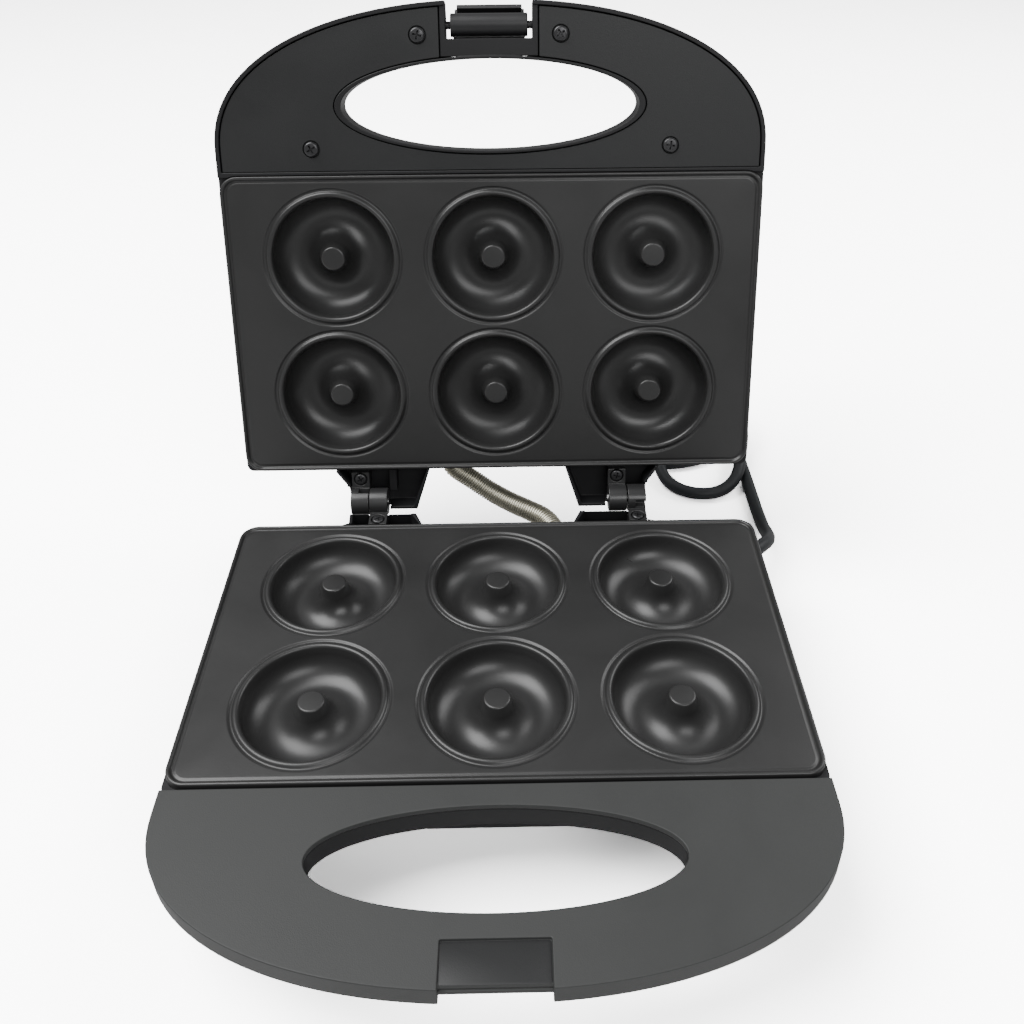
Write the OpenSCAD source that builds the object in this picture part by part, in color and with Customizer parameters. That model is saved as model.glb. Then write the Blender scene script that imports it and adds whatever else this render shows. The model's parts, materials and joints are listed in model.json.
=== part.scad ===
// Six-mould donut maker, shown open. Millimetres, +Z up, +X right, +Y towards the hinge.
// Base parts are drawn in place. Lid parts are drawn shut and then swung open about the hinge.

/* [Body] */
// Width of the baking plates
plate_w = 224; // [216:1:232]
// Depth of the baking plates, hinge side to handle side
plate_d = 130; // [126:1:134]
// Height of the meeting plane of the plates above the table
mating_h = 48; // [46:1:52]
// Depth of each housing from its plate to its outer face
housing_depth = 42; // [40:1:42]
// Gap between the two plates when shut
plate_gap = 1; // [0.8:0.1:1.4]
// Wall thickness of the housings
wall = 2; // [1.8:0.1:2.4]

/* [Moulds] */
// Spacing of the moulds across the plate
mould_pitch_x = 67.3; // [64:0.1:70]
// Spacing of the moulds front to back
mould_pitch_y = 60.2; // [60:0.1:62]
// Radius of the ring around each mould
mould_ring_r = 29.3; // [28.6:0.1:29.6]
// Depth of the trough below the plate's surface
mould_depth = 12; // [10:0.5:13]
// Radius of the post in the middle of each mould
post_r = 5; // [4:0.5:6]

/* [Handle] */
// Half width of the handle
handle_half_w = 112; // [111:0.5:115]
// Reach of the handle in front of the plate
handle_reach = 67; // [64:1:70]
// Thickness of the lid's half of the handle
handle_t = 13.5; // [13:0.5:15]
// Thickness of the base's half of the handle
base_handle_t = 10.8; // [10.4:0.1:12]
// Half length of the finger hole
hole_half_w = 60; // [54:1:62]
// Half depth of the finger hole
hole_half_d = 17.8; // [15:0.1:18.5]

/* [Hinge] */
// Distance of the hinge axis behind the plates
hinge_back = 15; // [14.5:0.1:15.5]
// Angle through which the lid opens
open_angle = 105.4; // [95:0.1:106]
// Radius of the hinge pins
hinge_pin_r = 2; // [1.8:0.1:2.4]
// Outer radius of the hinge knuckles
knuckle_r = 6; // [5.6:0.1:6.2]

/* [Latch] */
// Angle through which the latch is swung out from its hooked place
latch_angle = 125; // [110:1:130]
// Width of the latch
latch_w = 30.6; // [28:0.1:31]

/* [Cord] */
// Diameter of the mains cord
cord_d = 6.4; // [6:0.1:7]
// Radius of the middle of the coil's turns
coil_r = 35; // [34:0.5:36]

/* [Hidden] */
$fn = 48;

plate_x = plate_w / 2;
shell_x = plate_x + 0.5;
shell_rear = 1;
shell_front = -plate_d - 1;
hinge_z = mating_h + plate_gap / 2;
lid_z = mating_h + plate_gap;
field_drop = 0.8;            // the plate's surface lies this far inside its rim
plate_t = 2;
flange_d = field_drop + plate_t;
mould_y = -plate_d / 2 - 0.4;
trough_mid = 15.5;
trough_half = 9.6;
trough_wall = 2.5;           // height of the straight wall above the rounded trough

handle_mid = -plate_d - 10;  // where the handle's round part begins
handle_power = 2.2;
handle_rear = shell_front - 0.2;
panel_rear = handle_rear - 0.5;  // the upper handle's panel ends close to the plate
hole_y = -plate_d - 27;
handle_tip = -plate_d - handle_reach;
notch_half = 17.2;
shelf_half = 16.4;
shelf_y = handle_tip + 14.6;
shelf_front = handle_tip + 2;
skirt_h = 8.3;

latch_y = handle_tip + 9.5;
latch_z = 6;                  // height of the latch pin above the lid's meeting plane
latch_r = 4.5;
notch_y = latch_y + 5.1;       // back wall of the lid's latch notch
notch_panel_y = handle_tip + 21.4;
latch_pin_r = 1.5;
latch_pin_half = 19.4;

knuckle_w = 8;
lid_knuckles_x = [-61.8, 53.9];
base_knuckles_x = [-53.5, 62.4];
pad_y = 5.2;
pad_z = 1.6;
pad_t = 2.6;
arm_mid = 51;
hood_over = 4.4;             // reach of the lid's hood past the hinge axis

lug_x = mould_pitch_x / 2;   // the plate's lugs stand between the moulds
lug_y = [-14, -plate_d + 22];
handle_screw_at = [[73, -140.5], [28.3, -183.9]];
foot_at = [[82, -14], [82, -plate_d + 24]];
screw_head_r = 3;
heater_r = 3.3;
heater_d = flange_d + mould_depth + 0.3 + heater_r;
reflector_d = heater_d + heater_r + 1.6;

conduit_r = 4.2;
conduit_route = [
    [26, 2.4, -14], [25.8, 7, -13.8], [24.2, 12, -12.9], [20.4, 16.6, -11.8], [14.5, 20.6, -11.2],
    [5.4, 26, -10.2], [-3.9, 30.6, -7.2], [-11.4, 33.4, -2.9], [-17, 34.9, 0.6], [-20.4, 35.5, 3.5],
    [-21.6, 36, 6.5]
];
conduit_base = conduit_route[0];
conduit_lid_shut = [-21.6, 18];  // x and height above the lid's meeting plane when shut

gland_at = [102.4, -6.6, 19];
gland_turn = 45;
gland_len = 22;
coil_centre = [93, 136];
coil_half = cord_d;             // half width of the bundle, two turns side by side
lead_route = [
    [117.9, 8.9, 19], [121.5, 12.6, 18.6], [125, 16.8, 17.2], [128, 21.6, 14.8], [130.2, 27.4, 11.6],
    [131.4, 34, 8.4], [131.6, 41, 5.8], [131.8, 49, 4.2], [131.8, 58, 3.5], [131.8, 68, 3.4],
    [131.8, 80, 3.4], [131.6, 92, 3.4], [131.4, 104, 3.4], [131.3, 116, 3.4], [131.2, 126, 3.4],
    [131.2, 136, 3.4]
];
tail_route = [
    [58, 136, 9.8], [58.9, 129.5, 9.8], [61.8, 123.2, 9.8], [66.4, 118, 9.8], [72, 114.5, 9.8],
    [77.6, 111, 9.8], [82.2, 105.8, 9.6], [85.1, 99.5, 8.8], [86, 93, 7.2], [87.6, 84.9, 5],
    [92, 78.1, 3.8], [98.8, 73.4, 3.4], [106.7, 71.5, 3.4], [114.9, 72.8, 3.6], [121.9, 77, 5],
    [126.8, 83.6, 7.8], [129.2, 91.4, 10], [131.4, 99.6, 10.3], [133.4, 107.4, 10.6],
    [134.8, 115.4, 12.4], [133.6, 123, 15.2], [130.6, 129.6, 18.4], [125.4, 135.2, 21], [120.4, 139.8, 22.6]
];
plug_dir = [-0.74, 0.673];
plug_at = [120.4, 139.8, 22.6];
plug_turn = atan2(plug_dir[1], plug_dir[0]);

latch_reach = latch_y - handle_tip + 1.6;
latch_drop = latch_z + plate_gap + 7.8;

// The origin stands below the middle of the open maker, without its cord. The swung-out
// latch's tip is the rearmost point.
function swung(p, a) = [p[0] * cos(a) + p[1] * sin(a), p[1] * cos(a) - p[0] * sin(a)];
latch_tip = [latch_y, latch_z + lid_z] + swung([-latch_reach, -latch_drop], latch_angle);
open_back = hinge_back + swung(latch_tip - [hinge_back, hinge_z], open_angle)[0];
y_shift = -(handle_tip + open_back) / 2;

black = [0.10, 0.10, 0.11];
handle_grey = [0.27, 0.27, 0.27];
plate_grey = [0.17, 0.17, 0.18];
steel = [0.72, 0.72, 0.72];

// ---- Outlines -------------------------------------------------------------------------

// Rounded rectangle, counter-clockwise.
function rounded(x0, x1, y0, y1, r, steps = 5) = [
    for (c = [[x1 - r, y1 - r, 0], [x0 + r, y1 - r, 90], [x0 + r, y0 + r, 180], [x1 - r, y0 + r, 270]])
        for (i = [0 : steps])
            [c[0] + r * cos(c[2] + 90 * i / steps), c[1] + r * sin(c[2] + 90 * i / steps)]
];

// Outline of the plate, inset by i.
function plate_outline(i = 0) = rounded(-plate_x + i, plate_x - i, -plate_d + i, -i, 7.5 - i * 0.9);

// Outline of the handle, inset by i: a round-cornered front on straight sides.
function handle_outline(i = 0, rear = handle_rear) = concat(
    [[-handle_half_w + i, rear]],
    [for (t = [0 : 3 : 180])
        [-(handle_half_w - i) * sign(cos(t)) * pow(abs(cos(t)), 2 / handle_power),
         handle_mid - (handle_mid - handle_tip - i) * pow(sin(t), 2 / handle_power)]],
    [[handle_half_w - i, rear]]
);

function ellipse_outline(a, b) = [for (t = [0 : 4 : 356]) [a * cos(t), hole_y + b * sin(t)]];

function at_height(outline, z) = [for (p = outline) [p[0], p[1], z]];

function unit(v) = v / norm(v);

// ---- General shapes -------------------------------------------------------------------

// Closed solid through rings of equal length, lowest ring first.
module skin(rings) {
    n = len(rings[0]);
    k = len(rings);
    polyhedron(
        points = [for (r = rings) each r],
        faces = concat(
            [[for (i = [0 : n - 1]) i]],
            [for (j = [0 : k - 2]) for (i = [0 : n - 1])
                [j * n + i, (j + 1) * n + i, (j + 1) * n + (i + 1) % n, j * n + (i + 1) % n]],
            [[for (i = [n - 1 : -1 : 0]) (k - 1) * n + i]]
        ),
        convexity = 6
    );
}

// Round tube along a route.
module tube(route, r, sides = 8, up = [0, 0, 1]) {
    last = len(route) - 1;
    rings = [for (j = [0 : last])
        let (t = unit(route[min(j + 1, last)] - route[max(j - 1, 0)]),
             s = unit(cross(t, up)),
             v = cross(s, t))
        [for (i = [0 : sides - 1])
            route[j] + r * cos(360 * i / sides) * s - r * sin(360 * i / sides) * v]
    ];
    skin(rings);
}

module cyl_x(r, x0, x1) {
    translate([x0, 0, 0]) rotate([0, 90, 0]) cylinder(r = r, h = x1 - x0);
}

module both_sides() {
    children();
    mirror([1, 0, 0]) children();
}

// Everything stands in the shared frame.
module placed() {
    translate([0, y_shift, 0]) children();
}

// Base parts: heights are counted from the meeting plane, upwards.
module on_base() {
    placed() translate([0, 0, mating_h]) children();
}

// The same, with depths counted downwards from the meeting plane.
module below_base() {
    placed() translate([0, 0, mating_h]) mirror([0, 0, 1]) children();
}

// Lid parts: drawn shut, heights counted up from the lid's meeting plane, then swung open.
module on_lid() {
    placed()
        translate([0, hinge_back, hinge_z]) rotate([-open_angle, 0, 0])
            translate([0, -hinge_back, lid_z - hinge_z]) children();
}

module on_latch() {
    on_lid() translate([0, latch_y, latch_z]) rotate([-latch_angle, 0, 0]) children();
}

// A round-headed screw along -Z, its head's top at the origin, with a cross recess.
module screw(length, head_r = screw_head_r, shank_r = 1.4) {
    difference() {
        union() {
            translate([0, 0, -1.8]) cylinder(r = head_r, h = 1.8);
            translate([0, 0, -length]) cylinder(r = shank_r, h = length - 1);
        }
        for (a = [0, 90]) rotate([0, 0, a])
            translate([-head_r * 0.62, -0.35, -1]) cube([head_r * 1.24, 0.7, 2]);
    }
}

// ---- Housings -------------------------------------------------------------------------

// Outline of a housing at one depth: i is the inset of the sides and front, k of the rear.
function housing_ring(i, k, r, z) =
    at_height(rounded(-shell_x + i, shell_x - i, shell_front + i, shell_rear - k, r), z);

// Solid form of a housing, grown inwards by w for its hollow.
module housing_form(w, top) {
    deep = housing_depth - w;
    skin([
        housing_ring(w, w, 3, top),
        housing_ring(w + 0.6, w + 0.3, 4, 14),
        housing_ring(w + 3, w + 1, 6, 27),
        housing_ring(w + 7, w + 2.2, 8, deep - 6),
        housing_ring(w + 11, w + 4, 9, deep - 2),
        housing_ring(w + 16, w + 7, 10, deep)
    ]);
}

module housing_tray() {
    difference() {
        housing_form(0, flange_d + 0.1);
        housing_form(wall, flange_d - 2);
    }
}

// Boss that carries a plate screw, from the housing's floor to the reflector.
module plate_bosses() {
    both_sides() for (y = lug_y) translate([lug_x, y, 0])
        translate([0, 0, reflector_d + 1.1]) cylinder(r = 4, h = housing_depth - reflector_d - 2.2);
}

// Short pegs inside the lid that steady the reflector's screws.
module lid_pegs() {
    both_sides() for (y = lug_y) translate([lug_x, y, reflector_d + 3.2])
        cylinder(r = 4, h = housing_depth - reflector_d - 4);
}

module plate_boss_bores() {
    both_sides() for (y = lug_y) translate([lug_x, y, 0]) {
        translate([0, 0, reflector_d]) cylinder(r = 1.7, h = housing_depth);
        translate([0, 0, housing_depth - 4]) cylinder(r = 3.4, h = 8);
    }
}

// Flared arm between a housing's rear wall and the hinge, as seen from above.
module arm_outline(front_half, back_half, back_y, out = 0) {
    polygon([
        [arm_mid - front_half + out, shell_rear - 3 + out],
        [arm_mid + front_half - out, shell_rear - 3 + out],
        [arm_mid + front_half - out, shell_rear],
        [arm_mid + (front_half + back_half) / 2 - out - 1.6, (shell_rear + back_y) / 2 - 3],
        [arm_mid + 1 + back_half - out, back_y - out],
        [arm_mid + 1 - back_half + out, back_y - out]
    ]);
}

module base_arm() {
    difference() {
        translate([0, 0, 1.5]) linear_extrude(10.5) arm_outline(19, 14.5, hinge_back - 4.6);
        translate([0, 0, 0]) linear_extrude(10.2) arm_outline(19, 14.5, hinge_back - 4.6, 1.6);
        translate([0, hinge_back, plate_gap / -2]) cyl_x(knuckle_r + 0.7, 20, 90);
    }
}

// Room for a plate, cut from both housings.
module plate_seat() {
    translate([0, 0, -5]) linear_extrude(flange_d + 5.1) polygon(plate_outline(-0.15));
}

// Seats for the knuckles' pads.
module pad_seats(xs) {
    for (x = xs) translate([x - knuckle_w / 2 - 0.15, 0.2, -1])
        cube([knuckle_w + 0.3, 10, pad_z + pad_t + 1.05]);
}

module lid_hood() {
    difference() {
        linear_extrude(10.5) arm_outline(21.3, 15.4, hinge_back + hood_over);
        translate([0, 0, -1]) linear_extrude(9.9) arm_outline(21.3, 15.4, hinge_back + hood_over, 1.5);
        // The knuckles stand out through the hood's back wall.
        translate([0, hinge_back, -plate_gap / 2]) cyl_x(knuckle_r + 0.8, 48.9, arm_mid + 20);
    }
}

// Boss under each screw pad of the knuckles.
module pad_bosses(xs, deep) {
    for (x = xs) translate([x - knuckle_w / 2, 0.4, pad_z + pad_t]) cube([knuckle_w, 9.2, deep]);
}

module pad_bores(xs) {
    for (x = xs) translate([x, pad_y, pad_z]) cylinder(r = 1.4, h = 7);
}

// Underside of the base's handle: a shallow tray with a full, rounded belly.
module base_handle_belly() {
    difference() {
        skin([
            at_height(handle_outline(0.3, shell_front + 1.5), skirt_h + 0.1),
            at_height(handle_outline(1.6, shell_front + 1.5), skirt_h + 1.2),
            at_height(handle_outline(4, shell_front + 1.5), base_handle_t - 0.4),
            at_height(handle_outline(7, shell_front + 1.5), base_handle_t)
        ]);
        skin([
            at_height(handle_outline(2.3, shell_front + 3.4), skirt_h - 1),
            at_height(handle_outline(3, shell_front + 3.4), base_handle_t - 1.6)
        ]);
        translate([-shelf_half - 0.6, handle_tip - 5, 0])
            cube([2 * shelf_half + 1.2, 15, base_handle_t + 2]);
    }
    // Closing wall behind the latch notch.
    translate([-shelf_half - 2.6, handle_tip + 9.8, skirt_h + 0.1])
        cube([2 * shelf_half + 5.2, 2, base_handle_t - skirt_h - 0.6]);
    // Collar around the finger hole.
    translate([0, 0, 2.6]) linear_extrude(base_handle_t - 2.6)
        polygon(ellipse_outline(hole_half_w + 2, hole_half_d + 2));
}

module base_shell() {
    color(black) below_base() difference() {
        union() {
            housing_tray();
            plate_bosses();
            base_handle_belly();
            both_sides() base_arm();
            pad_bosses(base_knuckles_x, 7);
            at_handle_screws() translate([0, 0, 2.6])
                cylinder(r = 3.6, h = base_handle_t - 3);
        }
        plate_boss_bores();
        plate_seat();
        pad_seats(base_knuckles_x);
        pad_bores(base_knuckles_x);
        translate([0, 0, -1]) linear_extrude(base_handle_t + 6)
            polygon(ellipse_outline(hole_half_w, hole_half_d));
        at_handle_screws() {
            cylinder(r = 1.7, h = 30);
            translate([0, 0, base_handle_t - 2.6]) cylinder(r = 3.4, h = 10);
        }
        // Opening for the cord's gland, in the rear right corner.
        translate([gland_at[0], gland_at[1], mating_h - gland_at[2]]) rotate([0, 90, gland_turn])
            translate([0, 0, -14]) cylinder(r = 5, h = 40);
        // Opening for the spring conduit.
        translate([conduit_base[0], 0, -conduit_base[2]]) rotate([90, 0, 0])
            translate([0, 0, -10]) cylinder(r = 5.4, h = 20);
        // Air slots in the floor.
        for (x = [-36, -12, 12, 36]) for (y = [-40, -90])
            translate([x - 1.5, y - 14, housing_depth - 6]) cube([3, 28, 12]);
    }
}

module base_handle_cover() {
    color(handle_grey) below_base() difference() {
        union() {
            translate([0, 0, 0.3]) linear_extrude(2.2) polygon(handle_outline(0));
            difference() {
                translate([0, 0, 1]) linear_extrude(skirt_h - 1) polygon(handle_outline(0));
                translate([0, 0, 2]) linear_extrude(skirt_h) polygon(handle_outline(1.8, handle_rear - 1.8));
            }
            // Walls beside and behind the latch shelf.
            translate([-shelf_half - 1.8, handle_tip + 1.5, 1])
                cube([1.8, shelf_y - handle_tip, skirt_h - 1]);
            translate([shelf_half, handle_tip + 1.5, 1])
                cube([1.8, shelf_y - handle_tip, skirt_h - 1]);
        }
        translate([0, 0, -1]) linear_extrude(30)
            polygon(ellipse_outline(hole_half_w, hole_half_d));
        translate([-shelf_half, handle_tip - 5, -1]) cube([2 * shelf_half, shelf_y - handle_tip + 5, 20]);
        at_handle_screws() translate([0, 0, 1.4]) cylinder(r = 1.2, h = 8);
    }
    // Latch shelf: a floor a little below the panel, with a lip under its front edge.
    color(handle_grey) below_base() {
        translate([-shelf_half - 0.5, shelf_front, 1.5])
            cube([2 * shelf_half + 1, shelf_y - shelf_front + 0.5, 1.6]);
        translate([-shelf_half - 0.5, shelf_front - 0.6, 3.4])
            cube([2 * shelf_half + 1, 2.6, 1.6]);
        translate([-shelf_half - 0.5, shelf_front + 0.4, 2])
            cube([2 * shelf_half + 1, 1.6, 2]);
    }
}

module at_handle_screws() {
    both_sides() for (p = handle_screw_at) translate([p[0], p[1], 0]) children();
}

module base_handle_screws() {
    color(black) below_base() at_handle_screws()
        translate([0, 0, base_handle_t - 0.8]) screw(8, screw_head_r, 1.2);
}

module base_plate_screws() {
    color(steel) below_base() both_sides() for (y = lug_y)
        translate([lug_x, y, housing_depth - 2.2]) screw(22);
}

module rubber_feet() {
    color(black) placed() both_sides() for (p = foot_at)
        translate([p[0], p[1], 0]) difference() {
            cylinder(r1 = 6.5, r2 = 7.5, h = mating_h - housing_depth);
            translate([0, 0, -1]) cylinder(r = 2, h = 3.5);
        }
}

// ---- Baking plates --------------------------------------------------------------------

// Half section of a mould: cooking face outwards, then back along the underside.
function mould_section() =
    let (top = 0.2, low = mould_depth - trough_wall, outer = trough_half + 1.8,
         rim = trough_mid + trough_half)
    concat(
        [[0, top], [post_r - 0.5, top], [post_r + 0.1, top - 0.6]],
        [for (a = [180 : 15 : 360]) [trough_mid + trough_half * cos(a), -trough_wall + low * sin(a)]],
        [[rim + 0.2, -0.4], [rim + 0.5, 0.3], [rim + 1.1, 0.6], [rim + 2.1, 0.6], [rim + 2.7, 0.2],
         [mould_ring_r - 1.2, -0.5], [mould_ring_r - 0.4, -0.5], [mould_ring_r, -0.05],
         [mould_ring_r + 1.6, -0.4], [mould_ring_r + 1.6, -1.6], [rim + 1.8, -plate_t]],
        [for (a = [360 : -15 : 180]) [trough_mid + outer * cos(a), -trough_wall + (low + 1.8) * sin(a)]],
        [[trough_mid - outer, -1.6], [0, -1.6]]
    );

module each_mould() {
    for (ix = [-1, 0, 1]) for (iy = [-0.5, 0.5])
        translate([ix * mould_pitch_x, mould_y + iy * mould_pitch_y, 0]) children();
}

// A plate with its face up: the rim at height 0 and the surface field_drop lower.
module baking_plate() {
    difference() {
        translate([0, 0, -flange_d]) linear_extrude(plate_t) polygon(plate_outline(0));
        each_mould() translate([0, 0, -10]) cylinder(r = mould_ring_r + 0.2, h = 20);
    }
    difference() {
        translate([0, 0, -field_drop - 0.6]) linear_extrude(field_drop + 0.6) polygon(plate_outline(0.1));
        translate([0, 0, -5]) linear_extrude(10) polygon(plate_outline(1.6));
    }
    each_mould() translate([0, 0, -field_drop]) rotate_extrude() polygon(mould_section());
    both_sides() for (y = lug_y) translate([lug_x, y, -reflector_d + 0.1]) difference() {
        cylinder(r = 4, h = reflector_d - flange_d + 0.5);
        translate([0, 0, -1]) cylinder(r = 1.4, h = 14);
    }
}

module base_plate() {
    color(plate_grey) on_base() baking_plate();
}

// Heating tube: a racetrack under the moulds, open in the middle of its rear run.
module heater_tube() {
    half = mould_pitch_y / 2;
    translate([0, mould_y, -heater_d]) {
        translate([0, -half, 0]) cyl_x(heater_r, -mould_pitch_x, mould_pitch_x);
        both_sides() {
            translate([mould_pitch_x, 0, 0]) rotate([0, 0, -90])
                rotate_extrude(angle = 180) translate([half, 0]) circle(r = heater_r);
            translate([0, half, 0]) cyl_x(heater_r, 16, mould_pitch_x);
        }
    }
}

module heater_ends() {
    translate([0, mould_y + mould_pitch_y / 2, -heater_d]) both_sides() {
        cyl_x(2.6, 10, 15.9);
        translate([7, -1.5, -0.4]) cube([4.6, 3, 0.8]);
    }
}

module reflector() {
    translate([0, 0, -reflector_d - 1]) difference() {
        linear_extrude(1) polygon(rounded(-91, 91, -plate_d + 5, -8, 6));
        both_sides() for (y = lug_y) translate([lug_x, y, -1]) cylinder(r = 1.7, h = 4);
        translate([-22, mould_y + mould_pitch_y / 2 - 6, -1]) cube([44, 12, 4]);
    }
}

module base_heater() {
    color(steel) on_base() heater_tube();
}

module base_heater_ends() {
    color("white") on_base() heater_ends();
}

module base_reflector() {
    color(steel) on_base() reflector();
}

// ---- Hinge ----------------------------------------------------------------------------

// Knuckle with its screw pad, for the lid; the base's are the same, turned over.
module knuckle(x, bore_r, notched) {
    translate([x, 0, 0]) difference() {
        union() {
            translate([0, hinge_back, -plate_gap / 2]) cyl_x(knuckle_r, -knuckle_w / 2, knuckle_w / 2);
            translate([-knuckle_w / 2, 1.9, pad_z]) cube([knuckle_w, 8, pad_t]);
        }
        translate([0, hinge_back, -plate_gap / 2]) cyl_x(bore_r, -knuckle_w, knuckle_w);
        translate([0, pad_y, pad_z - 1]) cylinder(r = 1.6, h = pad_t + 2);
        translate([0, pad_y, pad_z - 1]) cylinder(r = 3, h = 2.4);
        // Stop notch in the barrel's front.
        if (notched) translate([-knuckle_w / 2 + 3.4, hinge_back - 8, -plate_gap / 2 - 2.6])
            cube([knuckle_w, 5, 3.6]);
    }
}

module base_knuckles() {
    color(handle_grey) below_base() {
        knuckle(base_knuckles_x[0], hinge_pin_r, false);
        knuckle(base_knuckles_x[1], hinge_pin_r, true);
    }
}

module lid_knuckles() {
    color(handle_grey) on_lid() {
        knuckle(lid_knuckles_x[0], hinge_pin_r + 0.05, true);
        knuckle(lid_knuckles_x[1], hinge_pin_r + 0.05, false);
    }
}

module knuckle_screws(xs) {
    for (x = xs) translate([x, pad_y, pad_z - 0.4]) mirror([0, 0, 1]) screw(6.5, 2.6, 1.2);
}

module base_knuckle_screws() {
    color(black) below_base() knuckle_screws(base_knuckles_x);
}

module lid_knuckle_screws() {
    color(black) on_lid() knuckle_screws(lid_knuckles_x);
}

module hinge_pins() {
    color(steel) placed() translate([0, hinge_back, hinge_z]) {
        cyl_x(hinge_pin_r, -66.4, -49.3);
        cyl_x(hinge_pin_r, 49.3, 67);
    }
}

// ---- Lid ------------------------------------------------------------------------------

// Through notch for the latch, with a scoop in the outer face that lets the latch swing out.
module latch_notch() {
    translate([-notch_half, handle_tip - 5, -1]) cube([2 * notch_half, notch_y - handle_tip + 5, handle_t + 4]);
    translate([-notch_half, handle_tip - 5, latch_z]) cube([2 * notch_half, 26.4, handle_t]);
}

// Outer half of the lid's handle: a deep rim around an inset panel.
module lid_handle_shell() {
    difference() {
        union() {
            difference() {
                skin([
                    at_height(handle_outline(0, shell_front + 1.5), 0),
                    at_height(handle_outline(0, shell_front + 1.5), 7.5),
                    at_height(handle_outline(1.6, shell_front + 1.5), 10.4),
                    at_height(handle_outline(4, shell_front + 1.5), handle_t - 0.8),
                    at_height(handle_outline(8, shell_front + 1.5), handle_t)
                ]);
                skin([
                    at_height(handle_outline(1.8, panel_rear + 0.2), -1),
                    at_height(handle_outline(1.8, panel_rear + 0.2), 7.2),
                    at_height(handle_outline(6, panel_rear - 0.5), handle_t - 2)
                ]);
            }
            // Block that carries the latch and its pin.
            translate([-notch_half - 2.2, handle_tip + 1, 0.8])
                cube([2 * notch_half + 4.4, notch_panel_y - handle_tip - 1, handle_t - 3]);
        }
        latch_notch();
    }
    linear_extrude(handle_t - 0.2) polygon(ellipse_outline(hole_half_w + 2.6, hole_half_d + 1.2));
}

module lid_shell() {
    color(black) on_lid() difference() {
        union() {
            housing_tray();
            lid_pegs();
            lid_handle_shell();
            both_sides() lid_hood();
            pad_bosses(lid_knuckles_x, 5);
            at_handle_screws() translate([0, 0, 2.6])
                cylinder(r = 3, h = handle_t - 3.6);
            // Stop rib inside the left hood.
            translate([-49, 0.5, 3]) cube([3.4, 11, 6]);
        }
        plate_seat();
        pad_seats(lid_knuckles_x);
        pad_bores(lid_knuckles_x);
        translate([0, 0, -1]) linear_extrude(handle_t + 6)
            polygon(ellipse_outline(hole_half_w, hole_half_d));
        at_handle_screws() cylinder(r = 1.2, h = 10);
        translate([0, latch_y, latch_z]) cyl_x(latch_pin_r, -latch_pin_half, latch_pin_half);
        translate([conduit_lid_shut[0], 0, conduit_lid_shut[1]]) rotate([90, 0, 0])
            translate([0, 0, -10]) cylinder(r = 5.4, h = 20);
        for (x = [-12, 12]) translate([x, -105, housing_depth - 6]) cylinder(r = 4, h = 12);
    }
}

module lid_handle_panel() {
    color(black) on_lid() difference() {
        translate([0, 0, 0.5]) linear_extrude(2) difference() {
            polygon(handle_outline(2.2, panel_rear));
            polygon(ellipse_outline(hole_half_w + 3, hole_half_d + 1.6));
            translate([-notch_half - 2.6, handle_tip - 5])
                square([2 * notch_half + 5.2, notch_panel_y - handle_tip + 5.4]);
        }
        at_handle_screws() {
            cylinder(r = 1.7, h = 8);
            cylinder(r = 3.4, h = 1.3);
        }
    }
}

module lid_handle_screws() {
    color(black) on_lid() at_handle_screws()
        translate([0, 0, -0.5]) mirror([0, 0, 1]) screw(9, screw_head_r, 1.2);
}

module lid_plate() {
    color(plate_grey) on_lid() mirror([0, 0, 1]) baking_plate();
}

module lid_heater() {
    color(steel) on_lid() mirror([0, 0, 1]) heater_tube();
}

module lid_heater_ends() {
    color("white") on_lid() mirror([0, 0, 1]) heater_ends();
}

module lid_reflector() {
    color(steel) on_lid() mirror([0, 0, 1]) reflector();
}

module lid_plate_screws() {
    color(steel) on_lid() both_sides() for (y = lug_y)
        translate([lug_x, y, reflector_d + 2.9]) screw(11);
}

// ---- Electrical parts -----------------------------------------------------------------

module thermal_fuse() {
    color("silver") on_base() translate([40, mould_y, -reflector_d - 3.4]) {
        cyl_x(2, -7, 7);
        cyl_x(0.6, -14, 14);
    }
}

module terminal_block() {
    color("ivory") on_base() translate([52, -20, -mating_h + 8.4]) difference() {
        cube([26, 12, 9]);
        for (i = [0 : 2]) translate([5 + 8 * i, 6, 3]) cylinder(r = 2, h = 10);
    }
}

module base_wires() {
    ends_y = mould_y + mould_pitch_y / 2;
    color("white") on_base() {
        tube([[8.8, ends_y, -heater_d - 1.6], [10, ends_y, -heater_d - 5], [15, ends_y + 1, -27.5],
              [28, -28, -30.5], [42, -18, -33], [51.2, -16.6, -35.2]], 1.1);
        tube([[-8.8, ends_y, -heater_d - 1.6], [-9, ends_y, -heater_d - 5], [-6, ends_y + 1, -28],
              [6, -31, -32.4], [26, -26, -34.8], [40, -22, -35.4], [47, -15, -35.4], [51.2, -11.6, -35.2]], 1.1);
    }
}

module thermostat() {
    color("silver") on_lid() translate([0, mould_y, reflector_d + 2.2]) {
        cylinder(r = 8, h = 5);
        for (x = [-5, 5]) translate([x - 1.5, -0.4, 4.5]) cube([3, 0.8, 4.5]);
    }
}

module thermostat_bracket() {
    color(steel) on_lid() translate([0, mould_y, reflector_d + 1.1]) difference() {
        translate([-16, -5, 0]) cube([32, 10, 1]);
        for (x = [-13, 13]) translate([x, 0, -1]) cylinder(r = 1.4, h = 3);
    }
}

module lamp() {
    translate([0, 0, housing_depth - 11]) cylinder(r = 2.2, h = 7.6);
    for (y = [-1, 1]) translate([0, y, housing_depth - 14]) cylinder(r = 0.5, h = 4);
}

module lens() {
    translate([0, 0, housing_depth - 3.2]) cylinder(r = 3.95, h = 3.2);
    translate([0, 0, housing_depth]) cylinder(r1 = 5, r2 = 3.6, h = 1.2);
}

module power_lamp() {
    color("orange") on_lid() translate([-12, -105, 0]) lamp();
}

module ready_lamp() {
    color("orange") on_lid() translate([12, -105, 0]) lamp();
}

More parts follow.
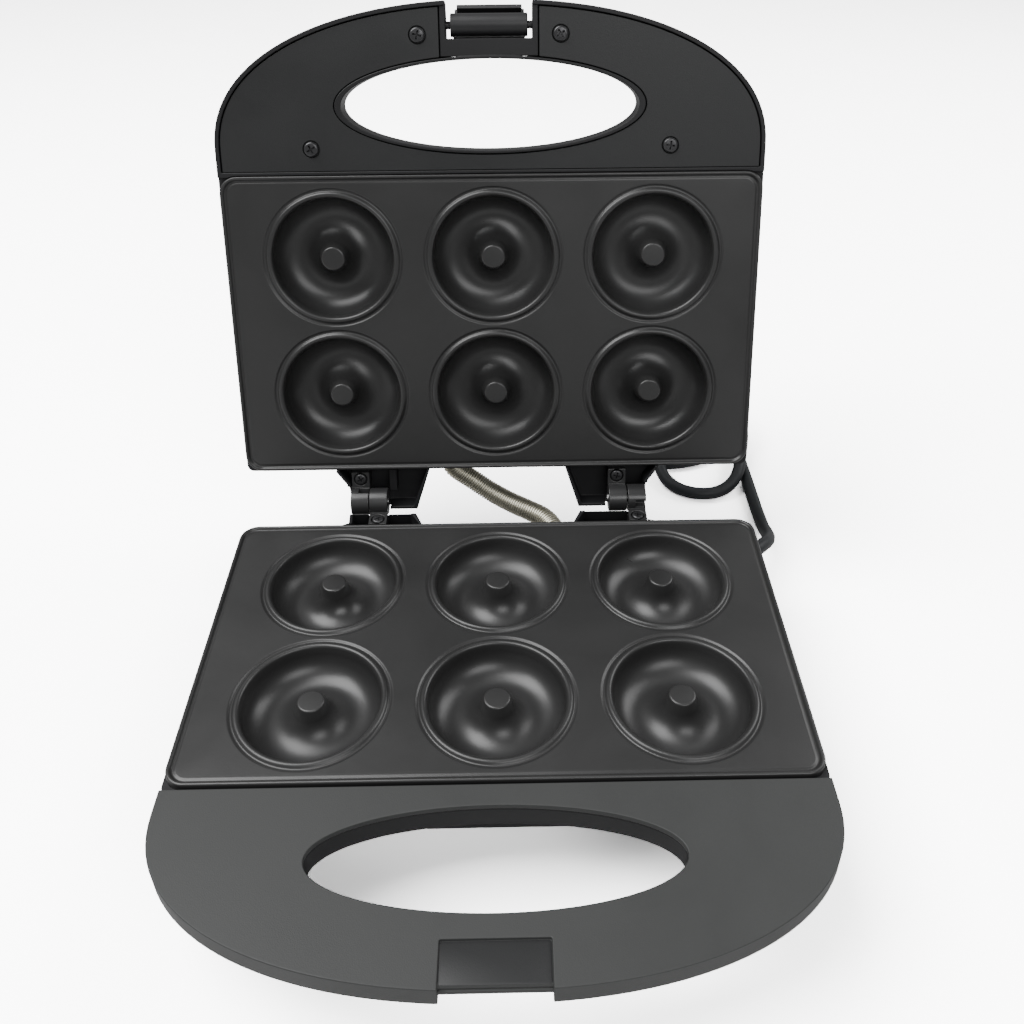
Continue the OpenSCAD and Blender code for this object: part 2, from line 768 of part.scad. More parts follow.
module power_lens() {
    color("red") on_lid() translate([-12, -105, 0]) lens();
}

module ready_lens() {
    color("green") on_lid() translate([12, -105, 0]) lens();
}

module lid_wires() {
    x = conduit_lid_shut[0];
    color("white") on_lid() {
        tube([[x - 1.4, -4.2, 18], [x - 2, -5.2, 22], [x - 2.4, -6, 26.5], [-23, -14, 30],
              [-20, -34, 31.6], [-8, -54, 34]], 1.1);
        tube([[x + 1.4, -4.2, 18], [x + 2, -5.2, 22], [x + 2.6, -6, 26.5], [-8, -20, 31],
              [2, -60, 36.4], [-8, -95, 33]], 1.1);
    }
}

// ---- Latch ----------------------------------------------------------------------------

// Drawn hooked, with the pin's axis at the origin: a barrel, a wing forward over the shelf,
// an arm down its front and a hook under its lip.
module latch() {
    half = latch_w / 2;
    color(black) on_latch() difference() {
        union() {
            cyl_x(latch_r, -half, half);
            translate([-half + 1, -latch_reach, 1.4]) cube([2 * half - 2, latch_reach, 2]);
            translate([-half + 1, -latch_reach, -latch_drop]) cube([2 * half - 2, 1.8, latch_drop + 3.4]);
            translate([-half + 2, -latch_reach, -latch_drop]) cube([2 * half - 4, 4.7, 2]);
        }
        cyl_x(latch_pin_r + 0.05, -half - 1, half + 1);
    }
}

module latch_pin() {
    color(steel) on_lid() translate([0, latch_y, latch_z])
        cyl_x(latch_pin_r, -latch_pin_half + 0.1, latch_pin_half - 0.1);
}

// ---- Cord and conduit -----------------------------------------------------------------

module cord_gland() {
    color(black) placed() translate(gland_at) rotate([0, 90, gland_turn]) difference() {
        union() {
            translate([0, 0, -8]) cylinder(r = 4.95, h = 12);
            translate([0, 0, 4]) cylinder(r1 = 6, r2 = 4.4, h = gland_len - 4);
            translate([0, 0, -9]) cylinder(r = 6.4, h = 1.6);
            for (z = [7 : 3.4 : 18]) translate([0, 0, z]) cylinder(r = 5.9 - (z - 7) * 0.09, h = 1.4);
        }
        translate([0, 0, gland_len - 0.01]) cylinder(r = 3.6, h = 2);
    }
}

module cord_clamp() {
    color("ivory") placed() translate([84, -24, 0]) difference() {
        translate([-4, -10, mating_h - housing_depth + 11]) cube([8, 20, 4]);
        for (y = [-7, 7]) translate([0, y, 10]) cylinder(r = 1.5, h = 30);
    }
}

module cord_clamp_screws() {
    color(steel) placed() for (y = [-7, 7])
        translate([84, -24 + y, mating_h - housing_depth + 16.8]) screw(9, 2.6, 1.4);
}

module power_cord() {
    color(black) placed() tube(lead_route, cord_d / 2);
}

module cord_tail() {
    color(black) placed() tube(tail_route, cord_d / 2);
}

module cord_coil() {
    color(black) placed() translate([coil_centre[0], coil_centre[1], 0])
        rotate_extrude() polygon(rounded(coil_r - coil_half, coil_r + coil_half, 0.1, 12.9, 3, 3));
}

module cord_tie() {
    color("dimgray") placed() translate([coil_centre[0], coil_centre[1], 0])
        rotate([0, 0, 152]) translate([coil_r, 0, 0]) difference() {
            translate([-coil_half - 1, -4, 0]) cube([2 * coil_half + 2, 8, 14]);
            translate([-coil_half - 0.2, -5, 0.05]) cube([2 * coil_half + 0.4, 10, 13.1]);
        }
}

module plug_body() {
    color(black) placed() translate(plug_at) rotate([0, 0, plug_turn]) {
        translate([0, -5, -5]) rotate([0, 0, 0]) skin([
            for (s = [[0, 3.6, 3.6], [10, 4.6, 4.6], [12, 8, 6.4], [16, 11, 8.2], [30, 12, 8.8], [33, 11.4, 8.2]])
                [for (a = [0 : 15 : 345]) [s[0], 5 + s[1] * cos(a), 5 + s[2] * sin(a)]]
        ]);
    }
}

module plug_pins() {
    color(steel) placed() translate(plug_at) rotate([0, 0, plug_turn]) {
        for (y = [-6.35, 6.35]) translate([32, y - 0.75, -1]) cube([17, 1.5, 6.3]);
        translate([32, 0, -5]) cyl_x(2.2, 0, 20);
    }
}

module spring_conduit() {
    color("olive") on_base() tube(conduit_route, conduit_r, 8, [1, 0.9, 0]);
}

module conduit_bush_base() {
    color(black) on_base() translate([conduit_base[0], 0, conduit_base[2]]) rotate([90, 0, 0])
        difference() {
            union() {
                translate([0, 0, -1]) cylinder(r = 5.3, h = 4);
                translate([0, 0, -2.2]) cylinder(r = 7, h = 1.2);
            }
            translate([0, 0, -3]) cylinder(r = 3, h = 8);
        }
}

module conduit_bush_lid() {
    color(black) on_lid() translate([conduit_lid_shut[0], 0, conduit_lid_shut[1]])
        rotate([90, 0, 0]) difference() {
            union() {
                translate([0, 0, -1]) cylinder(r = 5.3, h = 4);
                translate([0, 0, -2.2]) cylinder(r = 7, h = 1.2);
            }
            translate([0, 0, -3]) cylinder(r = 3, h = 8);
        }
}

// ---- Nodes ----------------------------------------------------------------------------

base_shell();
base_handle_cover();
base_plate();
base_heater();
base_heater_ends();
base_reflector();
base_plate_screws();
base_handle_screws();
rubber_feet();
base_knuckles();
hinge_pins();
base_knuckle_screws();
thermal_fuse();
terminal_block();
base_wires();
cord_gland();
cord_clamp();
cord_clamp_screws();
power_cord();
cord_coil();
cord_tail();
cord_tie();
plug_body();
plug_pins();
spring_conduit();
conduit_bush_base();
conduit_bush_lid();
lid_shell();
lid_handle_panel();
lid_plate();
lid_heater();
lid_heater_ends();
lid_reflector();
lid_plate_screws();
lid_handle_screws();
lid_knuckles();
lid_knuckle_screws();
thermostat();
thermostat_bracket();
power_lamp();
ready_lamp();
power_lens();
ready_lens();
lid_wires();
latch();
latch_pin();
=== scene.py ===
"""Donut maker, standing open on a pale table.

Every length is in metres in the row frame: +Z up, +X right, +Y towards the hinge. Small sizes are
written in millimetres times MM. Lid pieces are made shut and then swung open about the hinge.
"""

from __future__ import annotations

import json
import logging
import math
from dataclasses import dataclass
from enum import Enum
from typing import Iterable, Sequence

import bmesh
import bpy
from mathutils import Matrix, Vector


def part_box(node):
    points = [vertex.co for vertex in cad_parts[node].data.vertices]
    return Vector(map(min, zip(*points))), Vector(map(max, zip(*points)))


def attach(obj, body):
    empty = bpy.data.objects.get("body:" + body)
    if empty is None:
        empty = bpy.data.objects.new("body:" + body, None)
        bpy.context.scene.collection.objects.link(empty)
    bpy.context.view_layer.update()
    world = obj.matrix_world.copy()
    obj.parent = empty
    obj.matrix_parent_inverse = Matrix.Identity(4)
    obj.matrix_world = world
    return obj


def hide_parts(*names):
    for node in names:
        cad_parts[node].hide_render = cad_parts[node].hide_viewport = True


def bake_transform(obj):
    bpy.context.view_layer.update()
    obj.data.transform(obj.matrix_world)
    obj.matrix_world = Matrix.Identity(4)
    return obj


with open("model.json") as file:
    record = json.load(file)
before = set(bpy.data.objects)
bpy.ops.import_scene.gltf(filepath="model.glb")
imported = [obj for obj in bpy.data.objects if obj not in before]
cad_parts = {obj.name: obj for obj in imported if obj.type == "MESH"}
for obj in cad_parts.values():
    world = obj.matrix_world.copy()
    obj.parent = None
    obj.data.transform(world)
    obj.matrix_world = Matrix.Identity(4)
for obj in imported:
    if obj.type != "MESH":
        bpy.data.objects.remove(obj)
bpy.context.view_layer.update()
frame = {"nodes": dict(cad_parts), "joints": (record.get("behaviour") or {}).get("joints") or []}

logging.basicConfig(level=logging.INFO, format="%(levelname)s %(message)s")
log = logging.getLogger("donut_maker")

MM = 0.001
WELD = 0.005 * MM
Point = Sequence[float]
Colour = tuple[float, float, float]
Profile = Sequence[tuple[float, float]]
UP = Vector((0.0, 0.0, 1.0))


class Body(Enum):
    """The moving bodies of the maker."""

    BASE = "base"
    LID = "lid"
    LATCH = "latch"


# ---- Where things are ------------------------------------------------------------------


@dataclass(frozen=True)
class Datum:
    """The planes and axes that all pieces are placed from.

    Attributes:
        rear_y: The base plate's rear edge.
        mating_z: The base plate's rim height.
        plate_w: Width of a baking plate.
        plate_d: Depth of a baking plate.
        hinge: A point on the hinge axis.
        open_angle: The lid's opening angle in radians.
    """

    rear_y: float
    mating_z: float
    plate_w: float
    plate_d: float
    hinge: Vector
    open_angle: float

    @classmethod
    def from_frame(cls) -> Datum:
        """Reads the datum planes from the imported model.

        Returns:
            The datum of this maker.
        """
        low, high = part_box("base_plate")
        hinge = next(j for j in frame["joints"] if j["name"] == "lid_hinge")
        return cls(
            rear_y=high.y,
            mating_z=high.z,
            plate_w=high.x - low.x,
            plate_d=high.y - low.y,
            hinge=Vector(hinge["pos_m"]),
            open_angle=math.radians(hinge["range_deg"][1]),
        )

    def on_base(self) -> Matrix:
        """Places a piece whose origin is the middle of the plate's rear edge, at rim height."""
        return Matrix.Translation((0.0, self.rear_y, self.mating_z))

    def on_lid(self) -> Matrix:
        """Places a lid piece made shut, with heights counted from the lid's meeting plane."""
        swing = Matrix.Rotation(-self.open_angle, 4, "X")
        lid_z = 2.0 * self.hinge.z - self.mating_z
        shut = Vector((0.0, self.rear_y, lid_z)) - self.hinge
        return Matrix.Translation(self.hinge) @ swing @ Matrix.Translation(shut)

    def on_table(self, point_mm: Point) -> Vector:
        """Places a point counted from the plate's rear edge and the table, in millimetres.

        Args:
            point_mm: x, y and z in millimetres.

        Returns:
            The point in the row frame.
        """
        return Vector((point_mm[0] * MM, point_mm[1] * MM + self.rear_y, point_mm[2] * MM))


# ---- Mesh tools ------------------------------------------------------------------------


def object_from(mesh: bpy.types.Mesh, name: str) -> bpy.types.Object:
    """Links a mesh into the scene as an object at the origin.

    Args:
        mesh: The mesh.
        name: The object's name.

    Returns:
        The new object.
    """
    mesh.name = name
    piece = bpy.data.objects.new(name, mesh)
    bpy.context.scene.collection.objects.link(piece)
    return piece


def finish_mesh(work: bmesh.types.BMesh, name: str, sharp_deg: float = 35.0) -> bpy.types.Object:
    """Welds a mesh, turns its faces outwards and shades it smooth up to an angle.

    Args:
        work: The mesh under construction, freed here.
        name: The object's name.
        sharp_deg: Edges with a larger angle stay sharp.

    Returns:
        The finished object.
    """
    bmesh.ops.remove_doubles(work, verts=work.verts, dist=WELD)
    bmesh.ops.recalc_face_normals(work, faces=work.faces)
    mesh = bpy.data.meshes.new(name)
    work.to_mesh(mesh)
    work.free()
    mesh.shade_smooth()
    mesh.set_sharp_from_angle(angle=math.radians(sharp_deg))
    return object_from(mesh, name)


def add_ring(work: bmesh.types.BMesh, ring: Iterable[Point]) -> list[bmesh.types.BMVert]:
    """Adds one ring of vertices."""
    return [work.verts.new(p) for p in ring]


def bridge(work: bmesh.types.BMesh, low: list, high: list) -> None:
    """Joins two closed rings of equal length with quads.

    Args:
        work: The mesh.
        low: Vertices of the first ring.
        high: Vertices of the second ring.
    """
    count = len(low)
    for i in range(count):
        j = (i + 1) % count
        work.faces.new((low[i], low[j], high[j], high[i]))


def loft(work: bmesh.types.BMesh, rings: Sequence[Iterable[Point]], cap: bool = True) -> list[list]:
    """Adds a skin through closed rings of equal length.

    Args:
        work: The mesh.
        rings: The rings in order.
        cap: Whether the first and the last ring are closed with a face.

    Returns:
        The vertices of each ring.
    """
    made = [add_ring(work, ring) for ring in rings]
    for low, high in zip(made, made[1:]):
        bridge(work, low, high)
    if cap:
        work.faces.new(made[0])
        work.faces.new(made[-1])
    return made


def circle(radius: float, steps: int) -> list[tuple[float, float]]:
    """Points of a circle about the origin, counter-clockwise."""
    turn = [math.tau * i / steps for i in range(steps)]
    return [(radius * math.cos(a), radius * math.sin(a)) for a in turn]


def in_metres(profile_mm: Profile) -> list[tuple[float, float]]:
    """Turns a profile in millimetres into metres."""
    return [(radius * MM, height * MM) for radius, height in profile_mm]


def lathe(work: bmesh.types.BMesh, profile: Profile, steps: int, at: Matrix) -> None:
    """Turns a profile of (radius, height) about Z; a radius of zero becomes one point.

    Args:
        work: The mesh.
        profile: Radius and height of each point.
        steps: Number of steps round the axis.
        at: Places the turned shape.
    """
    previous: list | None = None
    for radius, height in profile:
        if radius <= 0.0:
            ring = [work.verts.new(at @ Vector((0.0, 0.0, height)))]
        else:
            ring = add_ring(work, [at @ Vector((x, y, height)) for x, y in circle(radius, steps)])
        if previous is not None:
            fan(work, previous, ring)
        previous = ring


def fan(work: bmesh.types.BMesh, low: list, high: list) -> None:
    """Joins two rings, of which either may be a single point."""
    if len(low) == len(high):
        bridge(work, low, high)
        return
    tip, ring = (low[0], high) if len(low) == 1 else (high[0], low)
    for i, vert in enumerate(ring):
        work.faces.new((tip, vert, ring[(i + 1) % len(ring)]))


def arc(
    centre: tuple[float, float], radii: tuple[float, float], span: tuple[float, float], steps: int
) -> list[tuple[float, float]]:
    """Points along an elliptical arc.

    Args:
        centre: Its centre.
        radii: Its radii along the first and the second axis.
        span: Its first and its last angle in degrees.
        steps: Number of steps between them.

    Returns:
        The points in order.
    """
    angles = [math.radians(span[0] + (span[1] - span[0]) * i / steps) for i in range(steps + 1)]
    return [(centre[0] + radii[0] * math.cos(a), centre[1] + radii[1] * math.sin(a)) for a in angles]


def rounded_rectangle(half_w: float, front: float, rear: float, radius: float, steps: int = 10) -> list:
    """Outline of a rectangle with round corners, counter-clockwise.

    Args:
        half_w: Half its width.
        front: Its lower y.
        rear: Its higher y.
        radius: Corner radius.
        steps: Steps round each corner.

    Returns:
        Points (x, y).
    """
    corners = [
        (half_w - radius, rear - radius, 0.0),
        (radius - half_w, rear - radius, 90.0),
        (radius - half_w, front + radius, 180.0),
        (half_w - radius, front + radius, 270.0),
    ]
    outline = []
    for x, y, start in corners:
        outline += arc((x, y), (radius, radius), (start, start + 90.0), steps)
    return outline


def smooth_path(points: Sequence[Vector], steps: int) -> list[Vector]:
    """Fills in a smooth path through points with Catmull-Rom curves.

    Args:
        points: The path's own points.
        steps: Steps between two of them.

    Returns:
        The dense path.
    """
    path = []
    last = len(points) - 1
    for i in range(last):
        before, start, end, after = (points[min(max(k, 0), last)] for k in (i - 1, i, i + 1, i + 2))
        for j in range(steps):
            t = j / steps
            path.append(
                0.5
                * (
                    2 * start
                    + (end - before) * t
                    + (2 * before - 5 * start + 4 * end - after) * t * t
                    + (3 * start - before - 3 * end + after) * t * t * t
                )
            )
    path.append(points[last].copy())
    return path


def solids_of(node: str, to_local: Matrix) -> list[list[Vector]]:
    """The corners of a CAD node's separate solids.

    Args:
        node: The CAD node.
        to_local: Matrix from the row frame into the space that the corners are wanted in.

    Returns:
        The corners of each solid, ordered by place.
    """
    work = bmesh.new()
    work.from_mesh(frame["nodes"][node].data)
    bmesh.ops.remove_doubles(work, verts=work.verts, dist=WELD)
    solids = []
    unseen = set(work.verts)
    while unseen:
        stack = [unseen.pop()]
        points = []
        while stack:
            vert = stack.pop()
            points.append(to_local @ vert.co)
            for edge in vert.link_edges:
                other = edge.other_vert(vert)
                if other in unseen:
                    unseen.remove(other)
                    stack.append(other)
        solids.append(points)
    work.free()
    return sorted(solids, key=lambda p: (round(min(v.x for v in p), 4), round(min(v.y for v in p), 4)))


def carry(piece: bpy.types.Object, body: Body, slot: str, *nodes: str) -> bpy.types.Object:
    """Puts a finished piece on its body in place of its CAD nodes.

    Args:
        piece: The finished piece.
        body: The body it moves with.
        slot: The record's material slot; not used.
        nodes: The CAD nodes it stands for.

    Returns:
        The piece.
    """
    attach(piece, body.value)
    if nodes:
        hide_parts(*nodes)
    log.info("%s rides on %s: %d faces", piece.name, body.value, len(piece.data.polygons))
    return piece


# ---- Shader groups ---------------------------------------------------------------------


class ShaderGroup:
    """A shader node group under construction, with named inputs and outputs."""

    def __init__(self, name: str, inputs: dict[str, float | None], outputs: Sequence[str]) -> None:
        """Makes the group and its sockets.

        Args:
            name: The group's name.
            inputs: Input names with their default value, or None for a vector.
            outputs: Names of the value outputs.
        """
        self.tree = bpy.data.node_groups.new(name, "ShaderNodeTree")
        for key, default in inputs.items():
            kind = "NodeSocketVector" if default is None else "NodeSocketFloat"
            socket = self.tree.interface.new_socket(key, in_out="INPUT", socket_type=kind)
            if default is not None:
                socket.default_value = default
        for key in outputs:
            self.tree.interface.new_socket(key, in_out="OUTPUT", socket_type="NodeSocketFloat")
        self.source = self.tree.nodes.new("NodeGroupInput").outputs
        self.result = self.tree.nodes.new("NodeGroupOutput").inputs

    def node(self, kind: str, values: dict | None = None, **settings: object) -> bpy.types.Node:
        """Adds a node; see add_node."""
        return add_node(self.tree, kind, values, **settings)

    def link(self, start: bpy.types.NodeSocket, end: bpy.types.NodeSocket) -> None:
        """Joins two sockets."""
        self.tree.links.new(start, end)


def add_node(
    tree: bpy.types.NodeTree, kind: str, values: dict | None = None, **settings: object
) -> bpy.types.Node:
    """Adds a node to a tree.

    Args:
        tree: The node tree.
        kind: The node's type.
        values: Socket values; a socket as a value is linked.
        settings: Attributes of the node.

    Returns:
        The new node.
    """
    node = tree.nodes.new(kind)
    for key, value in settings.items():
        setattr(node, key, value)
    for key, value in (values or {}).items():
        if isinstance(value, bpy.types.NodeSocket):
            tree.links.new(value, node.inputs[key])
        else:
            node.inputs[key].default_value = value
    return node


class Effects:
    """The shader groups that several finishes share, each built once."""

    _made: dict[str, bpy.types.NodeTree] = {}

    @classmethod
    def get(cls, name: str) -> bpy.types.NodeTree:
        """Returns a group by name, building it the first time."""
        if name not in cls._made:
            cls._made[name] = getattr(cls, f"_{name}")()
        return cls._made[name]

    @staticmethod
    def _mould_grain() -> bpy.types.NodeTree:
        """Fine spark-eroded grain of a moulding tool: a height and a mask of its pits."""
        group = ShaderGroup("mould_grain", {"Vector": None, "Scale": 2500.0}, ("Height", "Pits"))
        place = {"Vector": group.source["Vector"], "Scale": group.source["Scale"]}
        noise = group.node("ShaderNodeTexNoise", {**place, "Detail": 3.0, "Roughness": 0.6})
        pits = group.node("ShaderNodeTexVoronoi", place).outputs["Distance"]
        depth = group.node("ShaderNodeMath", {0: noise.outputs["Fac"], 1: pits}, operation="ADD")
        mask = group.node("ShaderNodeMapRange", {"Value": pits, "From Max": 0.6})
        group.link(depth.outputs[0], group.result["Height"])
        group.link(mask.outputs["Result"], group.result["Pits"])
        return group.tree

    @staticmethod
    def _handling() -> bpy.types.NodeTree:
        """Broad, soft changes from wiping and handling, from 0 to 1, and sparse small rubs."""
        group = ShaderGroup("handling", {"Vector": None, "Scale": 22.0}, ("Smudge", "Rubs"))
        place, scale = group.source["Vector"], group.source["Scale"]
        broad = group.node(
            "ShaderNodeTexNoise",
            {"Vector": place, "Scale": scale, "Detail": 4.0, "Distortion": 0.6},
        )
        small = group.node("ShaderNodeMath", {0: scale, 1: 14.0}, operation="MULTIPLY").outputs[0]
        fine = group.node(
            "ShaderNodeTexNoise",
            {"Vector": place, "Scale": small, "Detail": 5.0, "Roughness": 0.7},
        )
        for noise, low, high, name in ((fine, 0.6, 0.78, "Rubs"), (broad, 0.3, 0.7, "Smudge")):
            limits = {"Value": noise.outputs["Fac"], "From Min": low, "From Max": high}
            spread = group.node("ShaderNodeMapRange", limits)
            group.link(spread.outputs["Result"], group.result[name])
        return group.tree

    @staticmethod
    def _drawn_lines() -> bpy.types.NodeTree:
        """Fine lines drawn along X, as on rolled or brushed metal."""
        inputs = {"Vector": None, "Scale": 900.0, "Stretch": 0.02}
        group = ShaderGroup("drawn_lines", inputs, ("Height", "Tone"))
        squeeze = group.node(
            "ShaderNodeCombineXYZ", {"X": group.source["Stretch"], "Y": 1.0, "Z": 1.0}
        )
        stretched = group.node(
            "ShaderNodeVectorMath",
            {0: group.source["Vector"], 1: squeeze.outputs[0]},
            operation="MULTIPLY",
        )
        values = {"Vector": stretched.outputs[0], "Scale": group.source["Scale"]}
        noise = group.node("ShaderNodeTexNoise", {**values, "Detail": 4.0, "Roughness": 0.65})
        group.link(noise.outputs["Fac"], group.result["Height"])
        group.link(noise.outputs["Fac"], group.result["Tone"])
        return group.tree


# ---- Finishes --------------------------------------------------------------------------


@dataclass(frozen=True)
class Finish:
    """A procedural finish.

    Attributes:
        name: The material's name.
        colour: Main colour.
        second: Colour that the main one drifts towards in smudges.
        roughness: Lowest and highest roughness.
        grain: Scale of the surface grain per metre.
        relief: Height of the grain in millimetres.
        drawn: Whether the surface has drawn metal lines instead of moulding grain.
        metallic: Metallic amount.
        specular: Specular level.
        coat: Weight of a clear coat.
        coat_roughness: Roughness of that coat.
        sheen: Sheen weight.
        transmission: Transmission weight.

    The broad changes from handling have SMUDGE_SCALE per metre. DRIFT is the middle of the colour's
    drift, and POLISH is how much smoother a rubbed spot is.
    """

    name: str
    colour: Colour
    second: Colour
    roughness: tuple[float, float]
    grain: float = 2600.0
    relief: float = 0.02
    drawn: bool = False
    metallic: float = 0.0
    specular: float = 0.5
    coat: float = 0.0
    coat_roughness: float = 0.2
    sheen: float = 0.0
    transmission: float = 0.0

    SMUDGE_SCALE = 22.0
    DRIFT = 0.5
    POLISH = 0.06

    def material(self) -> bpy.types.Material:
        """Builds the material, or returns it if it was built before.

        Returns:
            The material.
        """
        label = f"{self.name}_finish"
        known = bpy.data.materials.get(label)
        if known is not None:
            return known
        material = bpy.data.materials.new(label)
        material.use_nodes = True
        tree = material.node_tree
        shader = tree.nodes["Principled BSDF"]
        place = add_node(tree, "ShaderNodeTexCoord").outputs["Object"]
        handling = add_node(tree, "ShaderNodeGroup", node_tree=Effects.get("handling"))
        handling.inputs["Scale"].default_value = self.SMUDGE_SCALE
        tree.links.new(place, handling.inputs["Vector"])
        surface = self._surface(tree, place)
        smudge, rubs = handling.outputs["Smudge"], handling.outputs["Rubs"]
        tone = add_node(
            tree,
            "ShaderNodeMath",
            {0: smudge, 1: surface[1], 2: self.DRIFT},
            operation="MULTIPLY_ADD",
        )
        colour = add_node(tree, "ShaderNodeMix", data_type="RGBA")
        colour.inputs["A"].default_value = (*self.colour, 1.0)
        colour.inputs["B"].default_value = (*self.second, 1.0)
        tree.links.new(tone.outputs[0], colour.inputs["Factor"])
        tree.links.new(colour.outputs["Result"], shader.inputs["Base Color"])
        rough = add_node(
            tree,
            "ShaderNodeMapRange",
            {"Value": smudge, "To Min": self.roughness[0], "To Max": self.roughness[1]},
        )
        polish = add_node(
            tree,
            "ShaderNodeMath",
            {0: rubs, 1: -self.POLISH, 2: rough.outputs["Result"]},
            operation="MULTIPLY_ADD",
        )
        tree.links.new(polish.outputs[0], shader.inputs["Roughness"])
        bump = add_node(
            tree,
            "ShaderNodeBump",
            {"Strength": 1.0, "Distance": self.relief * MM, "Height": surface[0]},
        )
        tree.links.new(bump.outputs["Normal"], shader.inputs["Normal"])
        for socket, amount in {
            "Metallic": self.metallic,
            "Specular IOR Level": self.specular,
            "Coat Weight": self.coat,
            "Coat Roughness": self.coat_roughness,
            "Sheen Weight": self.sheen,
            "Transmission Weight": self.transmission,
        }.items():
            shader.inputs[socket].default_value = amount
        return material

    def _surface(self, tree: bpy.types.NodeTree, place: bpy.types.NodeSocket) -> tuple:
        """Adds the fine surface pattern.

        Args:
            tree: The material's node tree.
            place: Object coordinates.

        Returns:
            The height socket and the tone socket.
        """
        name = "drawn_lines" if self.drawn else "mould_grain"
        group = add_node(tree, "ShaderNodeGroup", node_tree=Effects.get(name))
        group.inputs["Scale"].default_value = self.grain
        tree.links.new(place, group.inputs["Vector"])
        return group.outputs["Height"], group.outputs["Tone" if self.drawn else "Pits"]

    def dress(self, piece: bpy.types.Object) -> bpy.types.Object:
        """Gives a whole piece this finish."""
        piece.data.materials.clear()
        piece.data.materials.append(self.material())
        return piece


def bare_metal(
    name: str,
    colour: Colour,
    second: Colour,
    roughness: tuple[float, float],
    relief: float = 0.004,
    grain: float = 2600.0,
) -> Finish:
    """Makes the finish of a drawn or rolled bare metal.

    Args:
        name: The material's name.
        colour: Main colour.
        second: Colour in smudges.
        roughness: Lowest and highest roughness.
        relief: Height of the drawn lines in millimetres.
        grain: Scale of the drawn lines per metre.

    Returns:
        The finish.
    """
    return Finish(name, colour, second, roughness, grain, relief, drawn=True, metallic=1.0)


HOUSING = Finish(
    "housing_plastic", (0.007, 0.007, 0.0075), (0.010, 0.010, 0.011), (0.46, 0.56), specular=0.32
)
COVER = Finish(
    "cover_plastic", (0.0262, 0.0272, 0.0268), (0.033, 0.0342, 0.0337), (0.46, 0.56),
    grain=3000.0, specular=0.36,
)
PANEL = Finish(
    "panel_plastic", (0.012, 0.0125, 0.013), (0.016, 0.0165, 0.017), (0.42, 0.52),
    grain=3000.0, specular=0.36,
)
NONSTICK = Finish(
    "nonstick_coating", (0.0158, 0.0158, 0.0158), (0.021, 0.021, 0.021), (0.30, 0.40),
    grain=3800.0, relief=0.012, coat=0.06, coat_roughness=0.3,
)
KNUCKLE = Finish(
    "knuckle_plastic", (0.018, 0.018, 0.0185), (0.024, 0.024, 0.0245), (0.26, 0.36), relief=0.008
)
LATCH = Finish(
    "latch_plastic", (0.010, 0.010, 0.011), (0.015, 0.015, 0.016), (0.36, 0.46),
    relief=0.012, specular=0.4,
)
RUBBER = Finish(
    "cord_rubber", (0.011, 0.0122, 0.0138), (0.016, 0.0177, 0.020), (0.48, 0.58),
    grain=1800.0, specular=0.3,
)
FOOT = Finish(
    "foot_rubber", (0.020, 0.020, 0.020), (0.030, 0.030, 0.030), (0.6, 0.75),
    grain=1500.0, relief=0.03,
)
BLACK_STEEL = Finish(
    "blackened_steel", (0.030, 0.030, 0.032), (0.050, 0.050, 0.052), (0.26, 0.38),
    metallic=0.6, relief=0.006,
)
ZINC = bare_metal("zinc_plate", (0.56, 0.56, 0.54), (0.68, 0.68, 0.64), (0.24, 0.34))
PIN_STEEL = bare_metal("pin_steel", (0.50, 0.50, 0.50), (0.62, 0.62, 0.62), (0.2, 0.3), 0.003)
SPRING_WIRE = bare_metal(
    "spring_wire", (0.50, 0.48, 0.39), (0.66, 0.635, 0.53), (0.28, 0.40), grain=1600.0
)
HEATER = bare_metal("heater_tube", (0.30, 0.27, 0.22), (0.40, 0.35, 0.27), (0.35, 0.5), 0.01)
SHEET = bare_metal("reflector_sheet", (0.66, 0.67, 0.68), (0.76, 0.77, 0.78), (0.22, 0.34), 0.006)
FUSE = bare_metal("plated_case", (0.62, 0.62, 0.60), (0.72, 0.72, 0.70), (0.2, 0.32))
BRASS = bare_metal("plug_brass", (0.62, 0.46, 0.22), (0.72, 0.56, 0.30), (0.2, 0.32))
CERAMIC = Finish(
    "ceramic_bead", (0.78, 0.76, 0.70), (0.84, 0.82, 0.77), (0.6, 0.75), grain=2000.0
)
TERMINAL = Finish("terminal_plastic", (0.72, 0.66, 0.52), (0.78, 0.73, 0.60), (0.4, 0.5))
SLEEVE = Finish(
    "glass_sleeve", (0.72, 0.70, 0.64), (0.82, 0.80, 0.75), (0.7, 0.85),
    grain=1200.0, relief=0.12, sheen=0.3,
)
TIE = Finish("tie_plastic", (0.018, 0.018, 0.018), (0.028, 0.028, 0.028), (0.35, 0.45))
LAMP = Finish(
    "neon_lamp", (0.85, 0.42, 0.16), (0.90, 0.50, 0.22), (0.08, 0.14),
    transmission=0.7, relief=0.002,
)
RED_LENS = Finish(
    "red_lens", (0.42, 0.012, 0.010), (0.50, 0.02, 0.015), (0.1, 0.18), coat=0.6, relief=0.003
)
GREEN_LENS = Finish(
    "green_lens", (0.015, 0.26, 0.055), (0.02, 0.32, 0.07), (0.1, 0.18), coat=0.6, relief=0.003
)
TABLE = Finish(
    "table_paint", (0.86, 0.86, 0.86), (0.87, 0.87, 0.87), (0.6, 0.7), grain=900.0, relief=0.01
)


# ---- Geometry node trees ---------------------------------------------------------------


